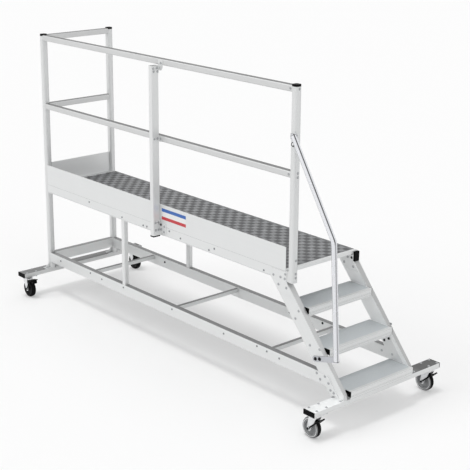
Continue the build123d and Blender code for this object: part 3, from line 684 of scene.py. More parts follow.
class Shape:
    """A mesh in the making, in metres in the model's frame."""

    sharp_angle = math.radians(38.0)
    smooth_angle = 42.0

    def __init__(self) -> None:
        """Starts an empty mesh."""
        self.mesh = bmesh.new()

    def ease(
        self, edges: Iterable[bmesh.types.BMEdge], width: float, profile: float = 0.6,
        clamp: bool = False,
    ) -> None:
        """Eases edges; with clamp they stop short of their neighbours."""
        bmesh.ops.bevel(
            self.mesh, geom=list(edges), offset=width, segments=2, profile=profile,
            affect="EDGES", clamp_overlap=clamp,
        )

    def block(self, low: Vector, high: Vector, bevel: float) -> None:
        """Adds a box.

        Args:
            low: Lowest corner.
            high: Highest corner.
            bevel: Width of the eased edges.
        """
        middle, size = (low + high) / 2, high - low
        matrix = Matrix.Translation(middle) @ Matrix.Diagonal((*size, 1.0))
        made = bmesh.ops.create_cube(self.mesh, size=1.0, matrix=matrix)
        self.ease({edge for vert in made["verts"] for edge in vert.link_edges}, bevel)

    def prism(self, outline: Sequence[Vector], depth: Vector, bevel: float) -> None:
        """Adds a plate of an even depth.

        Args:
            outline: Corners of one face in order.
            depth: From that face to the opposite one.
            bevel: Width of the eased edges.
        """
        first = [self.mesh.verts.new(point) for point in outline]
        second = [self.mesh.verts.new(point + depth) for point in outline]
        faces = [self.mesh.faces.new(first), self.mesh.faces.new(list(reversed(second)))]
        for i, vert in enumerate(first):
            j = (i + 1) % len(first)
            faces.append(self.mesh.faces.new((vert, second[i], second[j], first[j])))
        bmesh.ops.recalc_face_normals(self.mesh, faces=faces)
        self.ease({edge for face in faces for edge in face.edges}, bevel)

    def lathe(
        self, profile: Sequence[Pair], centre: Vector, axis: Vector, steps: int,
        ring: bool = False,
    ) -> None:
        """Adds a turned shape.

        Args:
            profile: Pairs of radius and height along the axis in millimetres; ends at nil
                radius close it.
            centre: Where the height is nil.
            axis: Direction of the height.
            steps: Number of faces around.
            ring: Whether the profile joins up with itself.
        """
        turn = axis.to_track_quat("Z", "Y").to_matrix()
        rings: list[list[bmesh.types.BMVert]] = []
        for radius, height in profile:
            angles = [math.tau * k / steps for k in range(steps if radius else 1)]
            rings.append([
                self.mesh.verts.new(centre + turn @ Vector((
                    radius * MM * math.cos(angle), radius * MM * math.sin(angle), height * MM,
                )))
                for angle in angles
            ])
        faces = []
        following = [*rings[1:], rings[0]] if ring else rings[1:]
        for below, above in zip(rings, following):
            for k in range(steps):
                j = (k + 1) % steps
                corners = [below[k % len(below)], below[j % len(below)],
                           above[j % len(above)], above[k % len(above)]]
                unique = list(dict.fromkeys(corners))
                if len(unique) > 2:
                    faces.append(self.mesh.faces.new(unique))
        bmesh.ops.recalc_face_normals(self.mesh, faces=faces)

    def copy(self, node: str, bevel: float) -> Shape:
        """Adds a CAD node's shape with its sharp edges eased.

        Args:
            node: The node's name.
            bevel: Width of the eased edges.

        Returns:
            The shape itself.
        """
        self.mesh.from_mesh(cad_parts[node].data)
        bmesh.ops.remove_doubles(self.mesh, verts=self.mesh.verts, dist=2e-6)
        bmesh.ops.dissolve_limit(
            self.mesh, angle_limit=math.radians(1.0), verts=self.mesh.verts,
            edges=self.mesh.edges,
        )
        sharp = [edge for edge in self.mesh.edges
                 if len(edge.link_faces) == 2 and edge.calc_face_angle(0.0) > self.sharp_angle]
        self.ease(sharp, bevel, 0.65, True)
        return self

    def finish(
        self, name: str, material: bpy.types.Material, slot: str = "satin_aluminium",
        body: str = "frame", replaces: Iterable[str] = (),
    ) -> None:
        """Turns the mesh into a piece that rides on a body.

        Its flat faces stay flat and its eased edges round off.

        Args:
            name: The piece's name.
            material: Its finish.
            slot: Not used.
            body: The body that it moves with.
            replaces: Nodes that it stands for.
        """
        data = bpy.data.meshes.new(name)
        self.mesh.to_mesh(data)
        self.mesh.free()
        data.materials.clear()
        data.materials.append(material)
        data.polygons.foreach_set("material_index", [0] * len(data.polygons))
        smooth(data, self.smooth_angle)
        holder = add_object("smoothing", data)
        holder.modifiers.new("weights", "WEIGHTED_NORMAL").keep_sharp = True
        piece = place_mesh(modified(holder, name), name, body)
        for node in replaces:
            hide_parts(node)


class GeometryTree(Nodes):
    """A Geometry Nodes tree with named sizes, made into a plain mesh once."""

    def __init__(
        self, name: str, sizes: dict[str, float | int], points: Sequence[Vector] = (),
        edges: Sequence[tuple[int, int]] = (),
    ) -> None:
        """Makes the tree and its inputs.

        Args:
            name: Name of the tree and of the piece that it makes.
            sizes: Value of each named input; whole numbers give whole-number inputs.
            points: Points of the mesh that it starts from.
            edges: Edges of that mesh.
        """
        super().__init__(bpy.data.node_groups.new(name, "GeometryNodeTree"))
        self.name = name
        self.base = bpy.data.meshes.new(name + "_base")
        self.base.from_pydata(list(points), list(edges), [])
        face = self.tree.interface
        face.new_socket("Geometry", in_out="INPUT", socket_type="NodeSocketGeometry")
        face.new_socket("Geometry", in_out="OUTPUT", socket_type="NodeSocketGeometry")
        self.values: dict[str, float | int] = {}
        for label, value in sizes.items():
            kind = "NodeSocketInt" if isinstance(value, int) else "NodeSocketFloat"
            socket = face.new_socket(label, in_out="INPUT", socket_type=kind)
            self.values[socket.identifier] = value
        self.points = self.node("NodeGroupInput")

    def __getitem__(self, label: str) -> Term:
        """The named input inside the tree."""
        return self.points.output(label)

    def cone(self, sides: Any, bottom: Any, top: Any, depth: Any) -> Term:
        """A low cone with its top cut off, given by its two radii and its height."""
        inputs = {"Vertices": sides, "Radius Bottom": bottom, "Radius Top": top, "Depth": depth}
        return self.node("GeometryNodeMeshCone", inputs, fill_type="NGON")

    def join(self, *shapes: Term) -> Term:
        """Several geometries as one."""
        joined = self.node("GeometryNodeJoinGeometry")
        for shape in shapes:
            self.feed(joined.socket.node.inputs[0], shape)
        return joined

    def spread(self, points: Term, instance: Term, **more: Term) -> Term:
        """An instance on every point, with its rotation or scale if they are given."""
        inputs = {"Points": points, "Instance": instance, **more}
        return self.node("GeometryNodeInstanceOnPoints", inputs)

    def mesh(self, shape: Term, material: bpy.types.Material, angle: float) -> bpy.types.Mesh:
        """Ends the tree and runs it.

        Args:
            shape: The geometry to make.
            material: Its finish.
            angle: Edges sharper than this many degrees stay sharp.

        Returns:
            The result as a plain mesh.
        """
        real = self.node("GeometryNodeRealizeInstances", {0: shape})
        painted = self.node("GeometryNodeSetMaterial", {"Geometry": real, "Material": material})
        self.feed(self.tree.nodes.new("NodeGroupOutput").inputs[0], painted)
        holder = add_object(self.name + "_base", self.base)
        modifier = holder.modifiers.new("pattern", "NODES")
        modifier.node_group = self.tree
        for identifier, value in self.values.items():
            modifier[identifier] = value
        made = modified(holder, self.name)
        smooth(made, angle)
        return made


@dataclass
class Fasteners:
    """Bolt or rivet heads of one size, set on the faces that they hold."""

    name: str
    material: bpy.types.Material
    head_radius: float = 0.0062
    head_height: float = 0.0036
    head_sides: int = 6
    washer_radius: float = 0.0085
    washer_height: float = 0.0012
    seats: list[tuple[Vector, Vector]] = field(default_factory=list)

    def add(self, facing: Vector, *seats: Point) -> None:
        """Adds heads that face one way, seated in millimetres from the setting-out point."""
        self.seats += [(at(*seat), facing) for seat in seats]

    def add_both(self, spots: Iterable[Pair], near: float, far: float) -> None:
        """Adds heads on two upright faces.

        Args:
            spots: X and Z of the heads.
            near: Y of the face that looks to the near side.
            far: Y of the face that looks to the far side.
        """
        for x, z in spots:
            self.add(OUT, (x, near, z))
            self.add(BACK, (x, far, z))

    def build(self, body: str = "frame") -> None:
        """Sets a head and its washer on every seat.

        Args:
            body: The body that they ride on.
        """
        tree = GeometryTree(self.name, {
            "Head radius": self.head_radius, "Head height": self.head_height,
            "Head sides": self.head_sides, "Washer radius": self.washer_radius,
            "Washer height": self.washer_height,
        }, [seat for seat, _ in self.seats])
        facing = tree.base.attributes.new("facing", "FLOAT_VECTOR", "POINT")
        facing.data.foreach_set("vector", [c for _, way in self.seats for c in way])
        radius, washer_radius = tree["Head radius"], tree["Washer radius"]
        crown = tree.cone(tree["Head sides"], radius, radius * 0.86, tree["Head height"])
        lift = tree.node("GeometryNodeTransform", {
            "Geometry": crown, "Translation": tree.vector(z=tree["Washer height"]),
        })
        washer = tree.cone(18, washer_radius, washer_radius * 0.92, tree["Washer height"])
        kind = "GeometryNodeInputNamedAttribute"
        way = tree.node(kind, {"Name": "facing"}, "Attribute", data_type="FLOAT_VECTOR")
        turn = tree.node("FunctionNodeAlignRotationToVector", {"Vector": way}, axis="Z")
        heads = tree.spread(tree.points, tree.join(lift, washer), Rotation=turn)
        place_mesh(tree.mesh(heads, self.material, angle=25.0), self.name, body)


@dataclass
class Ribs:
    """Straight low ribs across the platform, side by side."""

    name: str
    count: int
    pitch: float
    width: float
    height: float
    crown: float = 0.55

    def build(
        self, starts: Sequence[Vector], length: float, material: bpy.types.Material, slot: str
    ) -> None:
        """Lays a group of ribs at each start.

        Args:
            starts: Near left corner of each group, on the surface.
            length: Length of the ribs across the platform.
            material: Their finish.
            slot: Not used.
        """
        tree = GeometryTree(self.name, {
            "Count": self.count, "Pitch": self.pitch, "Width": self.width,
            "Height": self.height, "Crown": self.crown, "Length": length,
        }, starts)
        foot = tree.node("GeometryNodeMeshGrid", {
            "Size X": tree["Width"], "Size Y": tree["Length"], "Vertices X": 2, "Vertices Y": 2,
        })
        raised = tree.node("GeometryNodeExtrudeMesh", {
            "Mesh": foot, "Offset": tree.vector(z=1.0), "Offset Scale": tree["Height"],
            "Individual": False,
        }, mode="FACES")
        crowned = tree.node("GeometryNodeScaleElements", {
            "Geometry": raised, "Selection": raised.output("Top"), "Scale": tree["Crown"],
            "Axis": (1.0, 0.0, 0.0),
        }, domain="FACE", scale_mode="SINGLE_AXIS")
        under = tree.node("GeometryNodeFlipFaces", {"Mesh": foot})
        rib = tree.node("GeometryNodeTransform", {
            "Geometry": tree.join(crowned, under),
            "Translation": tree.vector(y=tree["Length"] * 0.5),
        })
        line = tree.node("GeometryNodeMeshLine", {
            "Count": tree["Count"], "Offset": tree.vector(x=tree["Pitch"]),
        })
        ribs = tree.spread(tree.points, tree.spread(line, rib))
        place_mesh(tree.mesh(ribs, material, angle=20.0), self.name, "frame")


@dataclass
class Deck:
    """The walking surface: tread plate, edge strips and the seam over the beam."""

    finishes: Finishes
    pitch: float = 0.043
    bar_count: int = 5
    bar_step: float = 0.0076
    bar_length: float = 0.035
    bar_width: float = 0.0046
    bar_height: float = 0.0012
    edge: float = 0.004
    strip_width: float = 24.0
    top: float = 840.0
    joints: tuple[Pair, ...] = ((833.3, 834.5), (777.2, 778.0))
    joint_ease: float = 0.00008

    def build_bars(self) -> None:
        """Raised bars in square blocks, every other block turned by a quarter."""
        low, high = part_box("deck_plate")
        left = at(self.strip_width, 0.0, 0.0).x
        columns = int((high.x - left - 2 * self.edge) / self.pitch)
        rows = int((high.y - low.y - 2 * self.edge) / self.pitch)
        tree = GeometryTree("deck_bars", {
            "Pitch": self.pitch, "Columns": columns, "Rows": rows,
            "Bars": self.bar_count, "Bar step": self.bar_step,
            "Bar length": self.bar_length, "Bar width": self.bar_width,
            "Bar height": self.bar_height,
        })
        grid = tree.node("GeometryNodeMeshGrid", {
            "Size X": tree["Pitch"] * (tree["Columns"] - 1.0),
            "Size Y": tree["Pitch"] * (tree["Rows"] - 1.0),
            "Vertices X": tree["Columns"], "Vertices Y": tree["Rows"],
        })
        start = tree["Bar step"] * ((tree["Bars"] - 1.0) * -0.5)
        line = tree.node("GeometryNodeMeshLine", {
            "Count": tree["Bars"], "Start Location": tree.vector(y=start),
            "Offset": tree.vector(y=tree["Bar step"]),
        })
        bar = tree.cone(8, 0.5, 0.36, tree["Bar height"])
        scale = tree.vector(tree["Bar length"], tree["Bar width"], 1.0)
        index = tree.node("GeometryNodeInputIndex")
        odd = (index % tree["Rows"] + tree.math("FLOOR", index / tree["Rows"])) % 2.0
        turn = tree.vector(z=odd * (math.pi / 2))
        bars = tree.spread(grid, tree.spread(line, bar, Scale=scale), Rotation=turn)
        middle = Vector(((left + high.x) / 2, (low.y + high.y) / 2, high.z))
        corner = middle - Vector((columns * self.pitch, rows * self.pitch, 0.0)) / 2
        Frame.paint("deck_plate", DeckSheet("deck_sheet", corner, self.pitch).build())
        data = tree.mesh(bars, WornBars("worn_bars", corner, self.pitch).build(), angle=50.0)
        lowest = min(vert.co.z for vert in data.vertices)
        data.transform(Matrix.Translation(middle - Vector((0, 0, lowest + 0.00005))))
        place_mesh(data, "deck_bars", "frame")

    def build_strips(self) -> None:
        """Light strip at the closed end and the ribbed top of the edge at the stair."""
        strip, under, over = Shape(), self.top - 0.5, self.top + 1.0
        strip.block(at(1.6, 22.4, under), at(self.strip_width, 547.6, over), RIB_EASE)
        strip.block(at(22.4, -16.6, under), at(40.0, 580.4, over), RIB_EASE)
        strip.finish("deck_end_strip", self.finishes.plate)
        low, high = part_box("deck_nosing")
        ribs = Ribs("nosing_ribs", count=4, pitch=0.0055, width=0.003, height=0.0007)
        start = Vector((low.x + 0.0035, low.y + 0.003, high.z))
        ribs.build([start], high.y - low.y - 0.006, self.finishes.along[Axis.Y], "satin_aluminium")

    def build_seam(self) -> None:
        """The fine joint between the beams and the boards and edges above them."""
        seam = Shape()
        for y0, y1, x0, x1 in ((-20.25, -19.9, 22.5, 2549.0), (589.9, 590.25, 22.5, 2552.0)):
            for z0, z1 in self.joints:
                seam.block(at(x0, y0, z0), at(x1, y1, z1), self.joint_ease)
        seam.finish("beam_seams", self.finishes.groove)

    def build(self) -> None:
        """Builds the whole deck."""
        self.build_bars()
        self.build_strips()
        self.build_seam()


@dataclass
class Stair:
    """Treads with ribbed tops, their noses and the handrail beside them."""

    finishes: Finishes
    rib_pitch: float = 0.0082
    rib_width: float = 0.0052
    rib_height: float = 0.0007
    margin: float = 0.006
    ribbed_depth: float = 0.158
    nose_depth: float = 0.042
    nose_height: float = 0.033
    nose_ease: float = 0.0008
    nose_lines: tuple[float, ...] = (6.0, 27.0, 33.0, 44.0)
    line_ease: float = 0.00005
    sheet_ease: float = 0.0007
    cap_depth: float = 0.003
    inner: Pair = (20.0, 550.0)
    overhang: float = 5.0
    rail_path: tuple[Pair, ...] = ((2610.0, 1660.0), (2950.0, 1115.0), (2995.0, 416.0))
    rail_side: float = -40.5
    rail_radius: float = 16.5
    rail_bend: float = 90.0
    plug_rise: float = 4.6

    def build_treads(self) -> None:
        """The three treads with their ribs and nose lines."""
        starts, lines = [], Shape()
        near, far = (at(0, y, 0).y for y in (self.inner[0] + 1, self.inner[1] - 1))
        for node in TREADS:
            Shape().copy(node, self.sheet_ease).finish(
                node + "_sheet", self.finishes.along[Axis.Y], "tread_aluminium", replaces=(node,)
            )
            low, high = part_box(node)
            starts.append(Vector((low.x + self.margin, at(0, self.inner[0] + 3, 0).y, high.z)))
            for drop in self.nose_lines:
                lines.block(Vector((high.x - 0.0001, near, high.z - (drop + 0.5) * MM)),
                            Vector((high.x + 0.0002, far, high.z - (drop - 0.5) * MM)),
                            self.line_ease)
        count = int((self.ribbed_depth - self.margin) / self.rib_pitch) + 1
        ribs = Ribs("tread_ribs", count, self.rib_pitch, self.rib_width, self.rib_height)
        length = (self.inner[1] - self.inner[0] - 6.0) * MM
        ribs.build(starts, length, self.finishes.tread, "tread_aluminium")
        ground = Shape()
        for start in starts:
            high = start + Vector(((count - 1) * self.rib_pitch + self.rib_width, length, 0.00025))
            ground.block(start - Vector((self.rib_width, 0.0, 0.0004)), high, FILM_EASE)
        ground.finish("tread_ground", self.finishes.tread, "tread_aluminium")
        self.build_ends()
        lines.finish("nose_lines", self.finishes.groove, "tread_aluminium")

    def build_ends(self) -> None:
        """The far ends of the nose boxes, over the stringer, and the caps at both ends."""
        ends, caps = Shape(), Shape()
        near, far = (at(0, y, 0).y for y in self.inner)
        over = far + self.overhang * MM
        for node in TREADS:
            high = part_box(node)[1]
            x, z = high.x - self.nose_depth, high.z - self.nose_height
            ends.block(Vector((x, far - 0.004, z)), Vector((high.x, over, high.z)), self.nose_ease)
            for y0, y1 in ((near - 0.0015, near), (over - 0.0005, over)):
                caps.block(Vector((x, y0, z)), Vector((high.x, y1 + self.cap_depth, high.z)), CAP_EASE)
        ends.finish("nose_ends", self.finishes.along[Axis.Y], "tread_aluminium")
        caps.finish("nose_caps", self.finishes.cap, "black_plastic", replaces=("tread_caps",))

    def build_handrail(self) -> None:
        """The bent tube with its plugs."""
        points = [at(x, self.rail_side, z) for x, z in self.rail_path]
        tree = GeometryTree("handrail_tube", {
            "Radius": self.rail_radius * MM, "Bend radius": self.rail_bend * MM, "Sides": 40,
        }, points, [(0, 1), (1, 2)])
        line = tree.node("GeometryNodeMeshToCurve", {"Mesh": tree.points})
        bent = tree.node("GeometryNodeFilletCurve", {
            "Curve": line, "Count": 20, "Radius": tree["Bend radius"], "Limit Radius": True,
        }, mode="POLY")
        section = tree.node("GeometryNodeCurvePrimitiveCircle", {
            "Resolution": tree["Sides"], "Radius": tree["Radius"],
        })
        tube = tree.node("GeometryNodeCurveToMesh", {
            "Curve": bent, "Profile Curve": section, "Fill Caps": True,
        })
        data = tree.mesh(tube, self.finishes.tube, angle=40.0)
        piece = place_mesh(data, "handrail_tube", "frame")
        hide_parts("handrail")
        plugs, r = Shape(), self.rail_radius
        for end, before in ((points[0], points[1]), (points[-1], points[-2])):
            way = (end - before).normalized()
            plugs.lathe(((0, -4.0), (r * 0.9, -4.0), (r * 1.02, 0.0), (r * 1.02, 1.4),
                         (r * 0.9, 3.0), (r * 0.5, 4.2), (0, self.plug_rise)),
                        end - way * (self.plug_rise * MM), way, 40)
        plugs.finish("handrail_plugs", self.finishes.cap, "black_plastic")

    def build(self) -> None:
        """Builds the whole stair."""
        self.build_treads()
        self.build_handrail()


@dataclass
class Frame:
    """The bolted aluminium frame: its members with eased edges, caps, label and bolts."""

    finishes: Finishes
    label_x: Pair = (1382.0, 1630.0)
    label_z: Pair = (881.0, 957.0)
    near: float = -20.0
    far: float = 590.0
    tube: float = 40.0
    rebate: float = 20.0
    gusset: float = 2.2
    joint_plate: float = 4.0
    post_bracket: float = 3.0
    rail_bracket: float = 5.0
    post_half: float = 22.0
    rim_corner: float = 14.0
    rim_foot: float = 1927.0
    rim_height: float = 12.7
    centre_post_side: float = 1366.0

    @staticmethod
    def paint(node: str, material: bpy.types.Material) -> None:
        """Gives one node a finish."""
        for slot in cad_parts[node].material_slots:
            slot.material = material

    def dress(
        self, material: bpy.types.Material, *nodes: str, bevel: float = MEMBER_EASE,
        slot: str = "satin_aluminium",
    ) -> None:
        """Puts eased, finished copies in the place of some nodes."""
        for node in nodes:
            Shape().copy(node, bevel).finish(node + "_dressed", material, slot, replaces=(node,))

    def dress_members(self) -> None:
        """Gives every member its finish, with draw lines along its length and painted shade, highlight or
        reflection on some faces.
        """
        looks = self.finishes
        rails, plain, guards = looks.rails, looks.along, looks.guards
        self.dress(guards[Axis.X], "top_rail_side", "mid_rail_side")
        self.dress(guards[Axis.Y], "top_rail_end", "mid_rail_end")
        self.dress(rails[Axis.X], "base_rail_near", "base_rail_far")
        self.dress(rails[Axis.Y], "base_rail_end", "base_cross_tubes")
        self.dress(plain[Axis.X], "toe_board_side", "beam_near")
        self.dress(looks.far_side, "beam_far", "toe_board_end")
        self.dress(plain[Axis.Y], "beam_end", "deck_nosing")
        self.dress(looks.left_beam, "outrigger_left")
        self.dress(looks.right_beam, "outrigger_right")
        self.dress(looks.posts, "post_near_left", "post_far_left", "post_near_right", bevel=POST_EASE)
        self.dress(plain[Axis.Z], "post_centre", "mid_legs", bevel=POST_EASE)
        self.dress(looks.plate, "post_brackets", "post_feet", "stringer_plates", bevel=PLATE_EASE)
        self.dress(looks.strap, "handrail_brackets", bevel=PLATE_EASE)
        self.build_stringer("stringer_near", self.near, 8.0, 20.0, looks.slope)
        self.build_stringer("stringer_far", 550.0, 572.0, self.far, looks.far_slope)
        self.dress(looks.cap, "post_caps", bevel=ROUND_EASE, slot="black_plastic")
        self.dress(looks.cap, "outrigger_caps", "beam_cap", slot="black_plastic")
        self.dress(looks.steel, "castor_plates", bevel=PLATE_EASE, slot="zinc_steel")
        self.paint("deck_joists", plain[Axis.Y])

    def build_stringer(
        self, node: str, start: float, step: float, end: float, finish: bpy.types.Material
    ) -> None:
        """A stringer with a full flange on its near side and a rebate beside it.

        Args:
            node: The node that it stands for.
            start: Y of the flange's near face.
            step: Y where the flange ends.
            end: Y of the rebate's far face.
            finish: The stringer's material.
        """
        places = {(round(v.co.x, 5), round(v.co.z, 5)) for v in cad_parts[node].data.vertices}
        middle_x, middle_z = (sum(values) / len(places) for values in zip(*places))
        outline = sorted(places, key=lambda p: math.atan2(p[1] - middle_z, p[0] - middle_x))
        shape = Shape()
        for y0, y1, back in ((start, step, 0.0), (step - 0.1, end, self.rebate)):
            corners = []
            for x, z in outline:
                front = x > middle_x and (z > middle_z or x > middle_x + 0.1)
                corners.append(Vector((x - back * MM * front, at(0, y0, 0).y, z)))
            shape.prism(corners, Vector((0, (y1 - y0) * MM, 0)), CAP_EASE)
        shape.finish(node + "_flanged", finish, replaces=(node,))

    def build_label(self) -> None:
        """The blank striped label on the side toe board."""
        (x0, x1), (z0, z1) = self.label_x, self.label_z
        film = Shape()
        film.block(at(x0, self.near - 0.5, z0), at(x1, self.near + 0.1, z1), FILM_EASE)
        film.finish("toe_board_label", StripedLabel("striped_label", z0 * MM, z1 * MM).build())

    def build_gussets(self) -> None:
        """Thin plates on the inner faces that tie the stringers to the beams and bottom rails."""
        head = ((2446, 828), (2548, 828), (2550, 768), (2597, 714), (2500, 714), (2446, 776))
        foot = ((2790, 298), (2790, 241), (2985, 241), (2880, 366), (2797, 366), (2832, 305))
        plates = Shape()
        for outline in (head, foot):
            for y, depth in ((self.far - self.tube, -self.gusset), (self.near + self.tube, self.gusset)):
                corners = [at(x, y - depth * 0.1, z) for x, z in outline]
                plates.prism(corners, Vector((0, depth * 1.1 * MM, 0)), PLATE_EASE)
        plates.finish("inner_gussets", self.finishes.plate)

    def build_rims(self) -> None:
        """Black rims of the posts' caps, under the centre post and round the outriggers' ends."""
        rims = Shape()
        rims.block(at(1328.4, -75.6, 761.5), at(1363.6, -20.2, 770.5), CAP_EASE)
        for x in (-20, 3000):
            for y0, y1 in ((-256.4, -251.0), (821.0, 826.4)):
                rims.block(at(x - 42.4, y0, 154.6), at(x + 42.4, y1, 185.5), MEMBER_EASE)
        half, corner = self.post_half + 0.3, self.rim_corner
        outline = []
        for quarter, (side_x, side_y) in enumerate(((1, 1), (-1, 1), (-1, -1), (1, -1))):
            for step in range(5):
                turn = math.radians(90.0 * quarter + 22.5 * step)
                outline.append((side_x * (half - corner) + corner * math.cos(turn),
                                side_y * (half - corner) + corner * math.sin(turn)))
        for post_x, post_y in ((0, 0), (0, 570), (2590, 0)):
            rims.prism([at(post_x + x, post_y + y, self.rim_foot) for x, y in outline],
                       UP * (self.rim_height * MM), MEMBER_EASE)
        rims.finish("black_end_rims", self.finishes.cap, "black_plastic")

    def build_bolts(self) -> None:
        """Bolt and rivet heads at the joints of the frame."""
        near, far = self.near, self.far
        inner_near, inner_far = near + self.tube, far - self.tube
        rivets = Fasteners(
            "frame_rivets", self.finishes.rivet, head_radius=0.0055, head_height=0.0026,
            head_sides=12, washer_radius=0.0068, washer_height=0.0008,
        )
        rivets.add_both((
            (550, 815), (1179, 791), (1219, 792), (1460, 817), (1575, 796), (1858, 790),
            (1910, 811), (2364, 791), (156, 274), (540, 283), (681, 274), (1480, 283),
            (2002, 274), (2312, 289), (2400, 283), (2509, 273), (940, 793), (940, 285),
        ), near, far)
        rivets.build()
        bolts = Fasteners("frame_bolts", self.finishes.bolt)
        bolts.add_both((
            (2452, 790), (2512, 790), (2552, 817), (2548, 788), (2496, 742), (2562, 735),
            (2828, 290), (2894, 290), (2856, 260), (2923, 258), (2941, 221), (2966, 212),
        ), near - self.joint_plate, far + self.joint_plate)
        bolts.add_both(((2665, 621), (2639, 568), (2763, 440), (2841, 438)), near, far)
        bolts.add_both(((2508, 790), (2480, 750), (2556, 738), (2814, 270), (2898, 270)),
                       inner_far - self.gusset, inner_near + self.gusset)
        dark = Fasteners("dark_bolts", self.finishes.black_bolt)
        dark.add_both(((2541, 818), (2541, 793), (2831, 342), (2866, 362)),
                      inner_far - self.gusset, inner_near + self.gusset)
        dark.add(OUT, (1376, near - self.post_bracket, 843))
        dark.add_both(((677, 276), (2006, 275), (2308, 291)), inner_far, inner_near)
        dark.build()
        for y, z in ((-58, 860), (-36, 860), (-58, 809), (-36, 808), (-60, 1419), (-37, 1419),
                     (-63, 1873), (-60, 1854), (-37, 1874), (-30, 1852)):
            bolts.add(RIGHT, (self.centre_post_side, y, z))
        for x, z in ((1379, 811), (1408, 800), (1412, 838), (1384, 1419), (1392, 1908)):
            bolts.add(OUT, (x, near - self.post_bracket, z))
        bolts.add(RIGHT, *((2612, 2, z) for z in (1914, 1430, 1406, 909, 828, 804)))
        for y in (0, 570):
            bolts.add(LEFT, *((-22, y, z) for z in (1914, 1419, 975, 850, 803, 268)))
        bolts.add(OUT, (2560, near, 1914), (2560, near, 1419))
        for y in (-50, 50, 520, 620):
            bolts.add(UP, (-13, y, 189), (13, y, 189))
        bolts.add(UP, (2962, -27, 185), (3027, -31, 185), (2962, 597, 185), (3027, 601, 185))
        for middle_x, middle_y in ((-20, -186), (-20, 772), (3000, -186), (3000, 772)):
            for x in (middle_x - 31, middle_x + 31):
                for y in (middle_y - 38, middle_y + 38):
                    bolts.add(UP, (x, y, 185))
                    bolts.add(DOWN, (x, y, 151))
        bolts.build()
        black = Fasteners(
            "handrail_bolts", self.finishes.black_bolt, head_radius=0.0085, head_height=0.006,
            washer_radius=0.0115, washer_height=0.0016,
        )
        for x, z in ((2815, 374), (2848, 383)):
            black.add(OUT, (x, near - self.rail_bracket, z))
        black.build()

    def build_knob(self) -> None:
        """The round stud under the handrail's upper end, with its black collar."""
        collar, stud, centre = Shape(), Shape(), at(2597, -21.5, 1600)
        collar.lathe(((6.0, 0.0), (12.5, 0.0), (13.5, 1.0), (13.5, 6.0), (12.5, 7.5), (9.5, 7.8),
                      (8.5, 6.0), (6.0, 5.0)), centre, OUT, 40, True)
        stud.lathe(((0, 0.0), (8.4, 0.0), (8.4, 6.0), (6.6, 8.5), (3.0, 9.8), (0, 10.0)),
                   centre, OUT, 32)
        collar.finish("handrail_stud_collar", self.finishes.cap, "black_plastic")
        stud.finish("handrail_stud", self.finishes.plate)

    def build(self) -> None:
        """Builds the whole frame."""
        self.dress_members()
        self.build_label()
        self.build_gussets()
        self.build_knob()
        self.build_rims()
        self.build_bolts()


